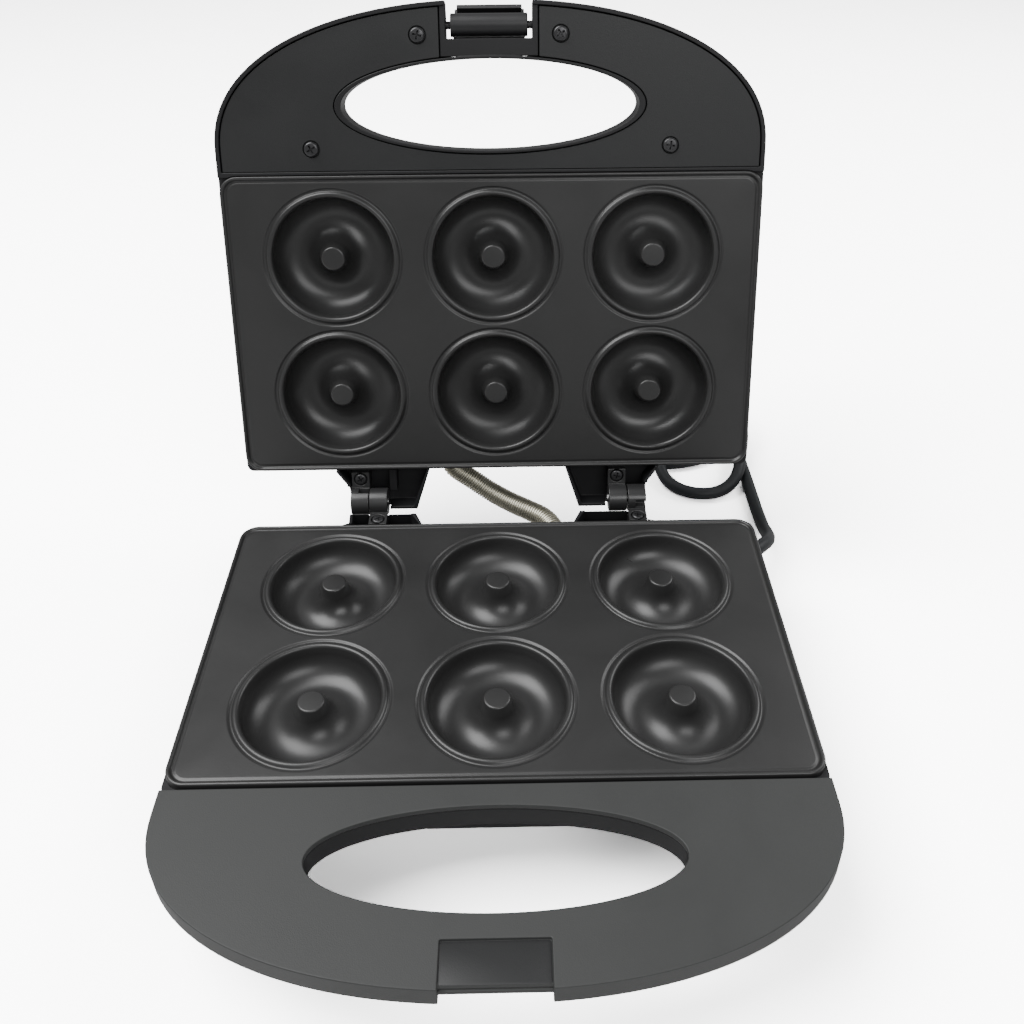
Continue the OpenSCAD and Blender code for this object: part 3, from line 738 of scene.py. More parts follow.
class GeometryTree:
    """A geometry node tree under construction, with named inputs."""

    def __init__(self, name: str) -> None:
        """Makes the tree with its geometry input and output.

        Args:
            name: The tree's name.
        """
        self.tree = bpy.data.node_groups.new(name, "GeometryNodeTree")
        self.add_input("Geometry", "NodeSocketGeometry")
        self.tree.interface.new_socket("Geometry", in_out="OUTPUT", socket_type="NodeSocketGeometry")
        self.source = self.tree.nodes.new("NodeGroupInput")
        self.result = self.tree.nodes.new("NodeGroupOutput")

    def add_input(self, name: str, kind: str) -> None:
        """Adds a named input."""
        self.tree.interface.new_socket(name, in_out="INPUT", socket_type=kind)

    def value(self, name: str) -> bpy.types.NodeSocket:
        """The socket of a named input."""
        return self.source.outputs[name]

    def node(self, kind: str, values: dict | None = None, **settings: object) -> bpy.types.Node:
        """Adds a node; see add_node."""
        return add_node(self.tree, kind, values, **settings)

    def circle(self, steps: int, radius: bpy.types.NodeSocket) -> bpy.types.NodeSocket:
        """Adds a circle of a number of steps."""
        values = {"Resolution": steps, "Radius": radius}
        return self.node("GeometryNodeCurvePrimitiveCircle", values, mode="RADIUS").outputs[0]

    def close(self, geometry: bpy.types.NodeSocket) -> None:
        """Ends the tree: instances made real, and the material set.

        Args:
            geometry: The geometry made so far.
        """
        real = self.node("GeometryNodeRealizeInstances", {"Geometry": geometry}).outputs[0]
        dressed = self.node(
            "GeometryNodeSetMaterial", {"Geometry": real, "Material": self.value("Material")}
        )
        self.tree.links.new(dressed.outputs[0], self.result.inputs[0])

    def run(self, host: bpy.types.Object, name: str, values: dict[str, object]) -> bpy.types.Object:
        """Runs the tree on a host mesh and keeps the result as a plain mesh.

        Args:
            host: The object that carries the modifier; it is removed afterwards.
            name: Name of the new object.
            values: Values of the named inputs.

        Returns:
            The new object.
        """
        modifier = host.modifiers.new(self.tree.name, "NODES")
        modifier.node_group = self.tree
        for item in self.tree.interface.items_tree:
            if item.in_out == "INPUT" and item.name in values:
                modifier[item.identifier] = values[item.name]
        host.update_tag()
        bpy.context.view_layer.update()
        graph = bpy.context.evaluated_depsgraph_get()
        mesh = bpy.data.meshes.new_from_object(host.evaluated_get(graph), depsgraph=graph)
        host.modifiers.remove(modifier)
        bpy.data.objects.remove(host)
        return object_from(mesh, name)


def instance_tree() -> GeometryTree:
    """Builds the tree that sets a template on every vertex of its host.

    The host's vertices carry the vector "axis", which the template's Z follows, and "turn", its
    angle about that axis.

    Returns:
        The tree, with the inputs Template and Material.
    """
    tree = GeometryTree("set_on_points")
    tree.add_input("Template", "NodeSocketObject")
    tree.add_input("Material", "NodeSocketMaterial")
    template = tree.node("GeometryNodeObjectInfo", {"Object": tree.value("Template")})
    axis = tree.node("GeometryNodeInputNamedAttribute", {"Name": "axis"}, data_type="FLOAT_VECTOR")
    turn = tree.node("GeometryNodeInputNamedAttribute", {"Name": "turn"}, data_type="FLOAT")
    spin = tree.node(
        "FunctionNodeAxisAngleToRotation", {"Axis": tuple(UP), "Angle": turn.outputs[0]}
    )
    aimed = tree.node(
        "FunctionNodeAlignRotationToVector",
        {"Vector": axis.outputs[0]},
        axis="Z",
        pivot_axis="AUTO",
    )
    both = tree.node(
        "FunctionNodeRotateRotation",
        {0: aimed.outputs[0], 1: spin.outputs[0]},
        rotation_space="LOCAL",
    )
    placed = tree.node(
        "GeometryNodeInstanceOnPoints",
        {
            "Points": tree.value("Geometry"),
            "Instance": template.outputs["Geometry"],
            "Rotation": both.outputs[0],
        },
    )
    tree.close(placed.outputs[0])
    return tree


def wire_tree() -> GeometryTree:
    """Builds the tree that winds wire closely round a path, over a plain core tube.

    Returns:
        The tree, with the inputs Coil Radius, Wire Radius, Core Radius, Pitch and Material.
    """
    coil_steps, wire_steps = 22, 7
    tree = GeometryTree("close_wound_wire")
    for name in ("Coil Radius", "Wire Radius", "Core Radius", "Pitch"):
        tree.add_input(name, "NodeSocketFloat")
    tree.add_input("Material", "NodeSocketMaterial")
    path = tree.node("GeometryNodeMeshToCurve", {"Mesh": tree.value("Geometry")}).outputs[0]
    stations = tree.node(
        "GeometryNodeCurveToPoints", {"Curve": path, "Length": tree.value("Pitch")}, mode="LENGTH"
    )
    turn = tree.circle(coil_steps, tree.value("Coil Radius"))
    wire = tree.circle(wire_steps, tree.value("Wire Radius"))
    ring = tree.node("GeometryNodeCurveToMesh", {"Curve": turn, "Profile Curve": wire})
    smooth = tree.node("GeometryNodeSetShadeSmooth", {"Geometry": ring.outputs[0]})
    placed = tree.node(
        "GeometryNodeInstanceOnPoints",
        {
            "Points": stations.outputs["Points"],
            "Instance": smooth.outputs[0],
            "Rotation": stations.outputs["Rotation"],
        },
    )
    bore = tree.circle(coil_steps, tree.value("Core Radius"))
    core = tree.node(
        "GeometryNodeCurveToMesh", {"Curve": path, "Profile Curve": bore, "Fill Caps": True}
    )
    wound = tree.node("GeometryNodeJoinGeometry", {0: placed.outputs[0]})
    tree.tree.links.new(core.outputs[0], wound.inputs[0])
    tree.close(wound.outputs[0])
    return tree


def points_host(places: Sequence[tuple[Vector, Vector, float]]) -> bpy.types.Object:
    """Makes the host of set_on_points.

    Args:
        places: Position, axis and turn of each copy.

    Returns:
        The host object.
    """
    mesh = bpy.data.meshes.new("places")
    mesh.from_pydata([p[0] for p in places], [], [])
    mesh.attributes.new("axis", "FLOAT_VECTOR", "POINT")
    mesh.attributes.new("turn", "FLOAT", "POINT")
    for i, place in enumerate(places):
        mesh.attributes["axis"].data[i].vector = place[1]
        mesh.attributes["turn"].data[i].value = place[2]
    return object_from(mesh, "places")


# ---- Studio ----------------------------------------------------------------------------


@dataclass
class Studio:
    """The camera, the floor and the soft lights.

    Attributes:
        datum: The datum planes.
        eye: The camera's place, its y counted from the plate's rear edge.
        pitch: Angle below the horizon in degrees.
        yaw: Turn towards +X in degrees.
        roll: Roll in degrees.
        lens: Focal length in millimetres.
        shift: Sensor shift.
        sensor: Width of the sensor in millimetres.
        surround: Strength of the white light from all round.
        table_half: Half the width of the table.
        lit_table: Brightness with which the table lights the maker.
        seen_table: Brightness with which the camera sees the table.
    """

    datum: Datum
    eye: Point = (0.0071, -0.3396, 0.3420)
    pitch: float = 33.3
    yaw: float = 0.72
    roll: float = -0.435
    lens: float = 35.51
    shift: tuple[float, float] = (-0.0104, -0.122)
    sensor: float = 36.0
    surround: float = 0.34
    table_half: float = 3.0
    lit_table: float = 0.55
    seen_table: float = 5.6

    # Name, place, width and height, and power in watts of each soft box, and where they aim.
    SOFT_BOXES = (
        ("key", (-0.8, -0.05, 1.5), (1.2, 1.2), 42.0),
        ("front", (0.5, -1.1, 1.0), (1.0, 0.6), 9.0),
        ("side", (1.0, 0.5, 0.9), (0.7, 0.9), 8.0),
    )
    AIM = (0.0, 0.0, 0.1)

    def build(self) -> None:
        """Makes the camera, then the floor, the lights and the surrounding light."""
        self._camera()
        self._floor()
        for name, place, size, power in self.SOFT_BOXES:
            self._light(name, place, size, power)
        world = bpy.data.worlds.new("soft_surround")
        world.use_nodes = True
        background = world.node_tree.nodes["Background"]
        background.inputs["Color"].default_value = (1.0, 1.0, 1.0, 1.0)
        background.inputs["Strength"].default_value = self.surround
        bpy.context.scene.world = world

    def _camera(self) -> None:
        """Aims the camera."""
        pitch, yaw, roll = (math.radians(a) for a in (self.pitch, self.yaw, self.roll))
        level = math.cos(pitch)
        ahead = Vector((math.sin(yaw) * level, math.cos(yaw) * level, -math.sin(pitch)))
        right = Vector((math.cos(yaw), -math.sin(yaw), 0.0))
        up = right.cross(ahead)
        across = right * math.cos(roll) + up * math.sin(roll)
        above = up * math.cos(roll) - right * math.sin(roll)
        data = bpy.data.cameras.new("camera")
        data.lens = self.lens
        data.sensor_width = self.sensor
        data.shift_x, data.shift_y = self.shift
        data.clip_start = 0.01
        camera = bpy.data.objects.new("camera", data)
        eye = Vector(self.eye) + Vector((0.0, self.datum.rear_y, 0.0))
        turn = Matrix((across, above, -ahead)).transposed().to_4x4()
        camera.matrix_world = Matrix.Translation(eye) @ turn
        bpy.context.scene.collection.objects.link(camera)
        bpy.context.scene.camera = camera

    def _floor(self) -> None:
        """Makes the table top."""
        work = bmesh.new()
        half = self.table_half
        corners = [(-half, -half, 0.0), (half, -half, 0.0), (half, half, 0.0), (-half, half, 0.0)]
        work.faces.new(add_ring(work, corners))
        floor = finish_mesh(work, "table_top")
        TABLE.dress(floor)
        self._bleach(TABLE.material())

    def _bleach(self, material: bpy.types.Material) -> None:
        """Shows the table bright to the camera while it throws little light on the maker.

        Args:
            material: The table's material.
        """
        tree = material.node_tree
        shade = add_node(tree, "ShaderNodeMix", data_type="RGBA")
        shade.inputs["A"].default_value = (*[self.lit_table] * 3, 1.0)
        shade.inputs["B"].default_value = (*[self.seen_table] * 3, 1.0)
        seen = add_node(tree, "ShaderNodeLightPath").outputs["Is Camera Ray"]
        tree.links.new(seen, shade.inputs["Factor"])
        tree.links.new(shade.outputs["Result"], tree.nodes["Principled BSDF"].inputs["Base Color"])

    def _light(self, name: str, place: Point, size: tuple[float, float], power: float) -> None:
        """Hangs one soft box aimed at the maker.

        Args:
            name: The light's name.
            place: Where it hangs.
            size: Its width and height.
            power: Its power in watts.
        """
        data = bpy.data.lights.new(name, "AREA")
        data.shape = "RECTANGLE"
        data.size, data.size_y = size
        data.energy = power
        light = bpy.data.objects.new(name, data)
        aim = Vector(self.AIM) - Vector(place)
        turn = aim.to_track_quat("-Z", "Y").to_matrix().to_4x4()
        light.matrix_world = Matrix.Translation(place) @ turn
        bpy.context.scene.collection.objects.link(light)


# ---- Cord ------------------------------------------------------------------------------


@dataclass
class PowerCord:
    """The mains cord with its strain relief, tie and plug.

    Attributes:
        datum: The datum planes.
        diameter: The cord's diameter.
        coil_centre: Centre of the coil in millimetres.
        outer_r: Radius of the first turn on the table, in millimetres.
        inner_r: Radius of the second turn.
        top_r: Radius of the half turn on top.
        length: The cord's length; not used.
        low: Height of the cord's middle on the table, in millimetres.
        high: Height of its middle on top of the coil.
        gland_deg: Angle from +X at which the strain relief leaves the housing.
    """

    datum: Datum
    diameter: float = 6.4 * MM
    coil_centre: tuple[float, float] = (93.0, 136.0)
    outer_r: float = 38.2
    inner_r: float = 31.6
    top_r: float = 35.0
    length: float = 0.86
    low: float = 3.4
    high: float = 9.8
    gland_deg: float = 45.0

    # From the strain relief to the coil, and from the coil to the plug: x, distance behind the
    # plate's rear edge, and height.
    LEAD = (
        (117.9, 8.9, 19), (121.5, 12.6, 18.6), (125, 16.8, 17.2), (128, 21.6, 14.8),
        (130.2, 27.4, 11.6), (131.4, 34, 8.4), (131.6, 41, 5.8), (131.8, 49, 4.2),
        (131.8, 58, 3.5), (131.8, 68, 3.4), (131.8, 80, 3.4), (131.6, 92, 3.4), (131.4, 104, 3.4),
        (131.3, 116, 3.4), (131.2, 126, 3.4),
    )
    TAIL = (
        (58.9, 129.5, 9.8), (61.8, 123.2, 9.8), (66.4, 118, 9.8), (72, 114.5, 9.8), (77.6, 111, 9.8),
        (82.2, 105.8, 9.6), (85.1, 99.5, 8.8), (86, 93, 7.2), (87.6, 84.9, 5), (92, 78.1, 3.8),
        (98.8, 73.4, 3.4), (106.7, 71.5, 3.4), (114.9, 72.8, 3.6), (121.9, 77, 5), (126.8, 83.6, 7.8),
        (129.2, 91.4, 10), (131.4, 99.6, 10.3), (133.4, 107.4, 10.6), (134.8, 115.4, 12.4),
        (133.6, 123, 15.2), (130.6, 129.6, 18.4), (125.4, 135.2, 21), (120.4, 139.8, 22.6),
    )
    PLUG_WAY = (-0.74, 0.673, 0.0)

    # The coil's total angle and step, and where it moves inwards, climbs and moves outwards again:
    # the angle at which each starts and the angle that it takes, all in degrees.
    WINDING = (900, 12)
    INWARD = (295.0, 62.0)
    CLIMB = (590.0, 66.0)
    OUTWARD = (620.0, 90.0)

    # Radius and distance from the free end of the strain relief's flange and neck, and of its tip.
    NECK = (
        (0.0, -31.0), (6.2, -31.0), (6.4, -30.7), (6.4, -29.5), (6.2, -29.3), (4.95, -29.3),
        (4.95, -18.2), (6.1, -18.0), (6.25, -17.7),
    )
    TIP = ((4.4, -1.2), (4.3, -0.5), (4.0, -0.1), (3.6, 0.0), (3.3, -0.2), (3.25, -1.0), (0.0, -1.0))

    # Distance from the cord's end, half width and half height along the plug.
    PLUG_NECK = ((0.0, 3.5, 3.5), (0.4, 3.9, 3.9))
    PLUG_GRIP = (
        (10.6, 4.6, 4.5), (11.6, 6.2, 5.4), (13.0, 8.2, 6.8), (15.0, 9.8, 7.8), (18.0, 10.6, 8.0),
        (22.0, 10.2, 7.2), (25.0, 10.3, 7.3), (28.0, 11.2, 8.2), (31.0, 11.9, 8.7),
        (32.4, 11.7, 8.5), (33.0, 11.2, 8.0),
    )

    def build(self) -> None:
        """Makes the cord and everything on it."""
        points = [self.datum.on_table(p) for p in (*self.LEAD, *self._coil(), *self.TAIL)]
        cord = self._curve(points)
        RUBBER.dress(cord)
        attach(cord, Body.BASE.value)
        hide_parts("power_cord", "cord_coil", "cord_tail")
        relief = self._strain_relief(points[0])
        plug = self._plug(points[-1], Vector(self.PLUG_WAY).normalized())
        tie = bench_copy("cord_tie", "cord_tie_strap", TIE, 0.3)
        carry(tie, Body.BASE, "tie_plastic", "cord_tie")
        pins = bench_copy("plug_pins", "plug_blades", BRASS, 0.25)
        carry(pins, Body.BASE, "plug_brass", "plug_pins")

    def _coil(self) -> list[tuple[float, float, float]]:
        """Works out the coil: a turn outside, a turn inside, and half a turn on top.

        Returns:
            Points in millimetres.
        """
        points = []
        whole, step = self.WINDING
        for degrees in range(0, whole + 1, step):
            inward, climb, outward = (
                ease((degrees - start) / span)
                for start, span in (self.INWARD, self.CLIMB, self.OUTWARD)
            )
            radius = self.outer_r + (self.inner_r - self.outer_r) * inward
            radius += (self.top_r - self.inner_r) * outward
            angle = math.radians(degrees)
            x = self.coil_centre[0] + radius * math.cos(angle)
            y = self.coil_centre[1] + radius * math.sin(angle)
            points.append((x, y, self.low + (self.high - self.low) * climb))
        return points

    def _curve(self, points: Sequence[Vector]) -> bpy.types.Object:
        """Makes the round cord along its points."""
        data = bpy.data.curves.new("mains_cord", "CURVE")
        data.dimensions = "3D"
        data.bevel_depth = self.diameter / 2.0
        data.bevel_resolution = 4
        data.use_fill_caps = True
        data.resolution_u = 5
        spline = data.splines.new("BEZIER")
        spline.bezier_points.add(len(points) - 1)
        for knot, point in zip(spline.bezier_points, points):
            knot.co = point
            knot.handle_left_type = knot.handle_right_type = "AUTO"
        cord = bpy.data.objects.new("mains_cord", data)
        bpy.context.scene.collection.objects.link(cord)
        bpy.context.view_layer.update()
        log.info("mains_cord is %.4f m long", spline.calc_length())
        return cord

    def _strain_relief(self, tip: Vector) -> bpy.types.Object:
        """Makes the ribbed, tapered strain relief that the cord leaves by.

        Args:
            tip: Its free end.

        Returns:
            The strain relief.
        """
        turn = math.radians(self.gland_deg)
        level = Vector((math.cos(turn), math.sin(turn), 0.0))
        at = Matrix.Translation(tip) @ level.to_track_quat("Z", "X").to_matrix().to_4x4()
        profile = list(self.NECK)
        ribs, first, spacing, widest, taper = 6, -16.6, 2.6, 6.1, 0.2
        for i in range(ribs):
            start = first + i * spacing
            outer = widest - i * taper
            groove, edge = outer - 0.9, outer - 0.25
            profile += [(groove, start - 0.5), (groove, start), (edge, start + 0.2)]
            profile += [(outer, start + 0.45), (outer, start + 1.25), (edge, start + 1.5)]
        profile += self.TIP
        work = bmesh.new()
        lathe(work, in_metres(profile), 40, at)
        relief = finish_mesh(work, "strain_relief", 40.0)
        RUBBER.dress(relief)
        return carry(relief, Body.BASE, "cord_rubber", "cord_gland")

    def _plug(self, root: Vector, ahead: Vector) -> bpy.types.Object:
        """Makes the moulded plug body with its ribbed neck and finger dips.

        Args:
            root: Where the cord enters.
            ahead: The way the blades point.

        Returns:
            The plug body.
        """
        side = UP.cross(ahead)
        steps, squareness = 40, 2.6
        ribs, spacing, rib_r, groove_r = 4, 2.2, 4.3, 3.7
        stations = list(self.PLUG_NECK)
        for i in range(ribs):
            for along, radius in ((1.2, rib_r), (2.4, rib_r), (2.7, groove_r), (3.2, groove_r)):
                stations.append((along + spacing * i, radius, radius))
        stations += self.PLUG_GRIP
        outline = [superellipse(math.tau * i / steps, squareness) for i in range(steps)]
        rings = []
        for along, half_w, half_h in stations:
            middle = root + ahead * (along * MM)
            rings.append(
                [middle + side * (half_w * MM * x) + UP * (half_h * MM * y) for x, y in outline]
            )
        work = bmesh.new()
        loft(work, rings)
        plug = finish_mesh(work, "plug_moulding", 38.0)
        RUBBER.dress(plug)
        return carry(plug, Body.BASE, "cord_rubber", "plug_body")


def ease(t: float) -> float:
    """Smooth step from 0 to 1."""
    t = min(max(t, 0.0), 1.0)
    return t * t * (3.0 - 2.0 * t)


def superellipse(angle: float, power: float) -> tuple[float, float]:
    """A point on the unit superellipse at a parameter angle."""
    c, s = math.cos(angle), math.sin(angle)
    return math.copysign(abs(c) ** (2.0 / power), c), math.copysign(abs(s) ** (2.0 / power), s)


# ---- Pieces that keep the CAD shape ----------------------------------------------------


CORNER_DEG = 35.0
FLAT_DEG = 0.6
FLAT_WEIGHT = 80


def bench_copy(node: str, name: str, finish: Finish, radius_mm: float) -> bpy.types.Object:
    """Copies a CAD node, merges it and rounds the edges that turn by more than CORNER_DEG.

    Args:
        node: The CAD node.
        name: The new piece's name.
        finish: Its finish.
        radius_mm: Radius of the edge rounding.

    Returns:
        The rounded copy.
    """
    work = bmesh.new()
    work.from_mesh(frame["nodes"][node].data)
    bmesh.ops.remove_doubles(work, verts=work.verts, dist=WELD)
    flat = math.radians(FLAT_DEG)
    bmesh.ops.dissolve_limit(work, angle_limit=flat, verts=work.verts, edges=work.edges)
    mesh = bpy.data.meshes.new(name)
    work.to_mesh(mesh)
    work.free()
    piece = object_from(mesh, name)
    mesh.shade_smooth()
    bevel = piece.modifiers.new("edge_rounding", "BEVEL")
    bevel.width = radius_mm * MM
    bevel.segments = 2
    bevel.limit_method = "ANGLE"
    bevel.angle_limit = math.radians(CORNER_DEG)
    bevel.use_clamp_overlap = False
    bevel.miter_outer = "MITER_ARC"
    weighted = piece.modifiers.new("flat_faces", "WEIGHTED_NORMAL")
    weighted.weight = FLAT_WEIGHT
    weighted.keep_sharp = False
    finish.dress(piece)
    settle(piece)
    return piece


def settle(piece: bpy.types.Object) -> None:
    """Applies every modifier of a piece."""
    bpy.context.view_layer.update()
    graph = bpy.context.evaluated_depsgraph_get()
    mesh = bpy.data.meshes.new_from_object(piece.evaluated_get(graph), depsgraph=graph)
    piece.modifiers.clear()
    piece.data = mesh
    mesh.name = piece.name


# ---- Baking plates ---------------------------------------------------------------------


@dataclass(frozen=True)
class MouldShape:
    """Sizes of one mould in millimetres, counted from the plate's field.

    Attributes:
        post_r: Radius of the post's flat top.
        trough_mid: Radius of the trough's lowest line.
        trough_half: Half width of the trough.
        depth: Depth of the trough.
        wall: Height of the straight wall above the rounded part.
        hole_r: Radius at which the mould meets the field.
        skin: Thickness of the casting.

    LIP is the bead round a mould and the shallow groove outside it, as the distance beyond the
    trough's edge and the height.
    """

    post_r: float = 5.0
    trough_mid: float = 15.5
    trough_half: float = 9.6
    depth: float = 12.0
    wall: float = 2.5
    hole_r: float = 29.95
    skin: float = 2.0

    LIP = (
        (0.1, -1.6), (0.3, -0.5), (0.55, 0.12), (0.95, 0.48), (1.4, 0.62), (1.9, 0.6), (2.3, 0.42),
        (2.65, 0.05), (2.9, -0.35), (3.2, -0.52), (3.6, -0.55), (3.95, -0.42), (4.2, -0.16), (4.6, 0.0),
    )
    TROUGH_SPAN = (184.0, 356.0)

    def face(self) -> list[tuple[float, float]]:
        """Profile of the cooking face from the middle outwards."""
        rim = self.trough_mid + self.trough_half
        profile = [(0.0, 0.22), (self.post_r - 0.8, 0.2)]
        profile += arc((self.post_r - 0.8, -0.6), (0.85, 0.8), (80.0, 10.0), 4)
        radii = (self.trough_half, self.depth - self.wall)
        profile += arc((self.trough_mid, -self.wall), radii, self.TROUGH_SPAN, 26)
        profile += [(rim + out, height) for out, height in self.LIP]
        return profile + [(self.hole_r, 0.0)]

    def back(self) -> list[tuple[float, float]]:
        """Profile of the underside from the middle outwards."""
        low = self.depth - self.wall + self.skin - 0.2
        outer = self.trough_half + self.skin - 0.2
        profile = [(0.0, -self.skin + 0.2), (self.trough_mid - outer, -self.skin + 0.1)]
        profile += arc((self.trough_mid, -self.wall), (outer, low), self.TROUGH_SPAN, 14)
        return profile + [(self.hole_r, -self.skin)]


@dataclass
class BakingPlate:
    """A cast plate with six moulds.

    Attributes:
        datum: The datum planes.
        body: The body that it rides on.
        node: The CAD node that it stands for.
        face_up: Whether the moulds open upwards when the maker is shut.
        mould: Sizes of a mould.
        pitch: Spacing of the moulds in millimetres, across and front to back.
        centre_y: Middle of the moulds behind the rear edge, in millimetres.
        field_drop: Depth of the field below the rim.
        corner_r: Radius of the plate's corners.
        steps: Steps round a mould.

    RIM is the rim's section, as the distance in from the plate's edge and the height.
    """

    datum: Datum
    body: Body
    node: str
    face_up: bool
    mould: MouldShape = MouldShape()
    pitch: tuple[float, float] = (67.3, 60.2)
    centre_y: float = -65.4
    field_drop: float = 0.8
    corner_r: float = 7.5
    steps: int = 72

    RIM = (
        (0.0, -2.8), (0.0, -0.75), (0.1, -0.4), (0.35, -0.1), (0.75, 0.0), (1.15, -0.06),
        (1.45, -0.3), (1.62, -0.7), (1.8, -1.0), (2.1, -1.12), (2.5, -1.1), (2.8, -0.95),
        (3.1, -0.82), (3.5, -0.8),
    )

    def build(self) -> bpy.types.Object:
        """Makes the plate in its place.

        Returns:
            The plate.
        """
        template = self._template()
        across, along = self.pitch
        centres = [
            Vector((ix * across * MM, (self.centre_y + iy * along) * MM, -self.field_drop * MM))
            for ix in (-1, 0, 1)
            for iy in (-0.5, 0.5)
        ]
        host = points_host([(c, UP, 0.0) for c in centres])
        values = {"Template": template, "Material": NONSTICK.material()}
        moulds = TREES["set_on_points"].run(host, "moulds", values)
        bpy.data.objects.remove(template)
        work = bmesh.new()
        work.from_mesh(moulds.data)
        bpy.data.objects.remove(moulds)
        self._field(work, centres)
        place = self.datum.on_base()
        if not self.face_up:
            place = self.datum.on_lid() @ Matrix.Diagonal((1.0, 1.0, -1.0, 1.0))
        work.transform(place)
        plate = finish_mesh(work, f"{self.node}_casting", 50.0)
        NONSTICK.dress(plate)
        return carry(plate, self.body, "nonstick", self.node)

    def _template(self) -> bpy.types.Object:
        """Makes one mould, face and back, open at its outer edge."""
        work = bmesh.new()
        for profile in (self.mould.face(), self.mould.back()):
            lathe(work, in_metres(profile), self.steps, Matrix.Identity(4))
        return finish_mesh(work, "mould", 50.0)

    def _field(self, work: bmesh.types.BMesh, centres: Sequence[Vector]) -> None:
        """Adds the flat field round the moulds, the rim and the flat back.

        Args:
            work: The mesh with the moulds.
            centres: The moulds' centres.
        """
        half, depth = self.datum.plate_w / 2.0, self.datum.plate_d
        rings = []
        for inset_mm, height in self.RIM:
            inset, radius = inset_mm * MM, (self.corner_r - inset_mm * 0.9) * MM
            outline = rounded_rectangle(half - inset, -depth + inset, -inset, radius)
            rings.append([(x, y, height * MM) for x, y in outline])
        made = loft(work, rings, cap=False)
        for edge_ring, drop in ((made[-1], 0.0), (made[0], self.mould.skin)):
            edges = ring_edges(work, edge_ring)
            for centre in centres:
                hole = [
                    (centre.x + x, centre.y + y, centre.z - drop * MM)
                    for x, y in circle(self.mould.hole_r * MM, self.steps)
                ]
                edges += ring_edges(work, add_ring(work, hole))
            bmesh.ops.triangle_fill(work, use_beauty=True, use_dissolve=False, edges=edges)


def ring_edges(work: bmesh.types.BMesh, ring: list) -> list[bmesh.types.BMEdge]:
    """The edges round a ring of vertices, made where they are missing."""
    edges = []
    for i, vert in enumerate(ring):
        other = ring[(i + 1) % len(ring)]
        edges.append(work.edges.get((vert, other)) or work.edges.new((vert, other)))
    return edges


# ---- Spring conduit --------------------------------------------------------------------


@dataclass
class SpringConduit:
    """The close-wound spring that guards the lid's supply wires.

    Attributes:
        datum: The datum planes.
        coil_r: Outer radius of the winding in millimetres.
        wire_r: Radius of the wire.
        pitch: Distance between turns.

    ROUTE runs from the base to the lid: x, distance behind the plate's rear edge, and height
    above its rim, in millimetres.
    """

    datum: Datum
    coil_r: float = 4.75
    wire_r: float = 0.54
    pitch: float = 1.16

    ROUTE = (
        (26, 2.4, -14), (25.8, 7, -13.8), (24.2, 12, -12.9), (20.4, 16.6, -11.8), (14.5, 20.6, -11.2),
        (5.4, 26, -10.2), (-3.9, 30.6, -7.2), (-11.4, 33.4, -2.9), (-17, 34.9, 0.6), (-20.4, 35.5, 3.5),
        (-21.6, 36, 6.5),
    )

    def build(self) -> bpy.types.Object:
        """Winds the spring.

        Returns:
            The spring, bending from the base to the lid.
        """
        place = self.datum.on_base()
        path = smooth_path([place @ (Vector(p) * MM) for p in self.ROUTE], 6)
        mesh = bpy.data.meshes.new("spine")
        mesh.from_pydata(path, [(i, i + 1) for i in range(len(path) - 1)], [])
        values = {
            "Coil Radius": (self.coil_r - self.wire_r) * MM,
            "Wire Radius": self.wire_r * MM,
            "Core Radius": (self.coil_r - 1.35 * self.wire_r) * MM,
            "Pitch": self.pitch * MM,
            "Material": SPRING_WIRE.material(),
        }
        spring = TREES["close_wound_wire"].run(object_from(mesh, "spine"), "conduit_spring", values)
        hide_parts("spring_conduit")
        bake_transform(spring)
        log.info("conduit_spring bends from base to lid: %d faces", len(spring.data.polygons))
        return spring


# ---- Screws and lenses -----------------------------------------------------------------


@dataclass(frozen=True)
class ScrewSeat:
    """Where one screw of a CAD node sits, in the space that the node was measured in.

    Attributes:
        top: Middle of the head's top.
        facing: 1 where the head looks along +Z, -1 along -Z.
        head_r: Radius of the head.
        length: Overall length.
    """

    top: Vector
    facing: float
    head_r: float
    length: float

    @classmethod
    def from_points(cls, points: Sequence[Vector]) -> ScrewSeat:
        """Measures one screw from the corners of its CAD solid."""
        low, high = Vector(map(min, zip(*points))), Vector(map(max, zip(*points)))
        middle = (low + high) / 2.0
        head_r = (high.x - low.x) / 2.0
        wide = [p.z for p in points if (p - middle).xy.length > 0.9 * head_r]
        facing = 1.0 if sum(wide) / len(wide) > middle.z else -1.0
        top = Vector((middle.x, middle.y, high.z if facing > 0.0 else low.z))
        return cls(top, facing, head_r, high.z - low.z)


